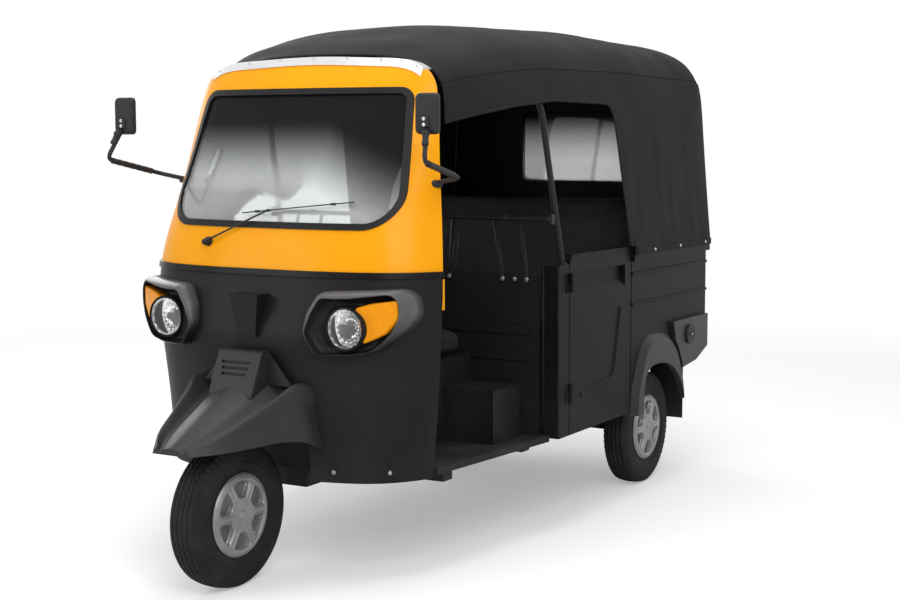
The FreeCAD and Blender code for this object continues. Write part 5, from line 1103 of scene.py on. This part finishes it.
trim = {"postX": 0.0545, "postYs": (0.6755, 0.612), "postLow": 0.378, "postHigh": 1.036, "beadRadius": 0.0034,
        "footSides": (-0.47, -0.30, 0.30, 0.47), "footHeight": 0.385}
beads = [tube([(trim["postX"], y, trim["postLow"]), (trim["postX"], y, trim["postHigh"])], trim["beadRadius"],
              sides=10, up=(1, 0, 0)) for y in trim["postYs"]]
footPlaces = onCab([(side, trim["footHeight"]) for side in trim["footSides"]], 0.0005)
footBolts = [part for spot in footPlaces for part in boltHead(spot, 0.0055)]
strip = roundBlock((0.7765, 0.6045, 0.935), (0.7835, 0.6125, 1.040), 0.002)
piece("post_beads", "body", bothSides(beads), "black_paint", "black_paint")
piece("foot_bolts", "body", footBolts, "zinc_steel", "bright_strip")
piece("edge_strips", "body", bothSides(strip), "yellow_paint", "yellow_paint")
print("bars, handlebar, tail and fixings made")


# stitching: a row of short thread loops along the canopy's hem and round its rear window

stitch = {"corners": ((-1, -1, 0), (1, -1, 0), (1, 1, 0), (-1, 1, 0), (-0.7, -0.7, 1), (0.7, -0.7, 1),
                      (0.7, 0.7, 1), (-0.7, 0.7, 1)),
          "quads": ((0, 1, 5, 4), (1, 2, 6, 5), (2, 3, 7, 6), (3, 0, 4, 7), (4, 5, 6, 7), (3, 2, 1, 0)),
          "lengthShare": 0.34, "half": 0.0007, "height": 0.0009, "stand": 0.0008, "hemPitch": 0.011,
          "hemHeights": (0.0075, 0.0215), "windowPitch": 0.010, "windowGap": 0.012}


def stitches(line, pitch, outOf):
    # a flat loop every pitch along a line: each is a squashed ring of eight points carried to its place
    length = np.concatenate([[0], np.cumsum(np.linalg.norm(np.diff(line, axis=0), axis=1))])
    at = np.arange(pitch, length[-1] - pitch, pitch)
    spot, ahead = (np.stack([np.interp(at + step, length, line[:, k]) for k in range(3)], -1)
                   for step in (0, pitch * 0.3))
    way, out = unit(ahead - spot), outOf(spot)
    scaled = np.array(stitch["corners"]) * (pitch * stitch["lengthShare"], stitch["half"], stitch["height"])
    axes = np.stack([way, np.cross(way, out), out], 1)
    points = (spot + out * stitch["stand"])[:, None] + scaled @ axes
    faces = (np.arange(len(at))[:, None, None] * 8 + np.array(stitch["quads"])).reshape(-1, 4)
    return {"points": points.reshape(-1, 3), "faces": [faces], "tones": [0], "smooth": False}


def backwards(points):
    return np.broadcast_to((-1.0, 0, 0), points.shape)


seamLine = skirtLine + outOfSkirt(skirtLine) * 0.0018
threads = [stitches(seamLine + (0, 0, height), stitch["hemPitch"], outOfSkirt)
           for height in stitch["hemHeights"]]
windowLine = np.vstack([windowLine, windowLine[:1]])
windowWay = unit((windowLine - windowLine.mean(0)) * (0, 1, 1))
windowLine = windowLine + windowWay * stitch["windowGap"] - (0.0008, 0, 0)
threads.append(stitches(windowLine, stitch["windowPitch"], backwards))
piece("canopy_stitching", "body", threads, "sewing_thread", "canopy_cloth")
print("stitching made")


# camera at the photograph's place and angle; a soft studio with a pale floor

shot = {"place": (5.0715, 3.224, 1.4868), "yaw": 0.4869, "pitch": 0.0955, "roll": 0.0036, "lens": 59.71,
        "shift": (-0.0925, -0.0116)}
lensData = bpy.data.cameras.new("camera")
lensData.lens, lensData.sensor_width = shot["lens"], 36
lensData.shift_x, lensData.shift_y = shot["shift"]
level = math.cos(shot["pitch"])
forward = Vector((-math.cos(shot["yaw"]) * level, -math.sin(shot["yaw"]) * level, -math.sin(shot["pitch"])))
camera = bpy.data.objects.new("camera", lensData)
camera.rotation_mode = "QUATERNION"
camera.rotation_quaternion = forward.to_track_quat("-Z", "Y") @ Euler((0, 0, shot["roll"])).to_quaternion()
camera.location = shot["place"]
scene.collection.objects.link(camera)
scene.camera = camera

studio = {"ambient": 0.36, "floorFill": 0.34,
          "lights": (((4.2, 3.6, 4.2), (0.3, 0, 0.9), 3.2, 135), ((-2.2, -4.6, 3.6), (0, 0, 0.9), 3.0, 95),
                     ((0.2, 0.4, 5.2), (0, 0, 0), 3.4, 110), ((5.5, -3.0, 2.2), (0.9, 0, 0.9), 2.4, 50))}
scene.world = bpy.data.worlds.new("studio")
root = newTree(scene.world)
cameraRay, throughRay, glossyRay = (root.node("LightPath", output="Is %s Ray" % kind)
                                    for kind in ("Camera", "Transmission", "Glossy"))
seen = cameraRay.maths("MAXIMUM", cameraRay, throughRay)
seen = seen.maths("MAXIMUM", seen, glossyRay)
strength = seen * (1 - studio["ambient"]) + studio["ambient"]
root.node("OutputWorld", {"Surface": root.node("Background", {"Color": (1, 1, 1), "Strength": strength})})
for number, (place, aim, size, power) in enumerate(studio["lights"]):
    light = bpy.data.lights.new("light_%d" % number, "AREA")
    light.energy, light.size = power, size
    item = bpy.data.objects.new(light.name, light)
    item.location = place
    item.rotation_euler = (Vector(aim) - Vector(place)).to_track_quat("-Z", "Y").to_euler()
    scene.collection.objects.link(item)

root, spot = newMaterial("studio_floor")
far = spot.node("VectorMath", {0: spot}, "Value", operation="LENGTH").ramp(2.6, 7)
pale = root.node("BsdfDiffuse", {"Color": (0.9, 0.9, 0.9)})
white, fill = (root.node("Emission", {"Color": (1, 1, 1), "Strength": strength})
               for strength in (1, studio["floorFill"]))
lifted = root.node("AddShader", {0: pale, 1: fill})
seenFloor = root.node("LightPath", output="Is Camera Ray").mixShaders(pale, lifted)
root.node("OutputMaterial", {"Surface": far.mixShaders(seenFloor, white)})
ground = bpy.data.meshes.new("floor")
ground.from_pydata([(-60, -60, 0), (60, -60, 0), (60, 60, 0), (-60, 60, 0)], [], [(0, 1, 2, 3)])
ground.materials.append(finishes["studio_floor"])
floorItem = bpy.data.objects.new("floor", ground)
scene.collection.objects.link(floorItem)
print("studio made")
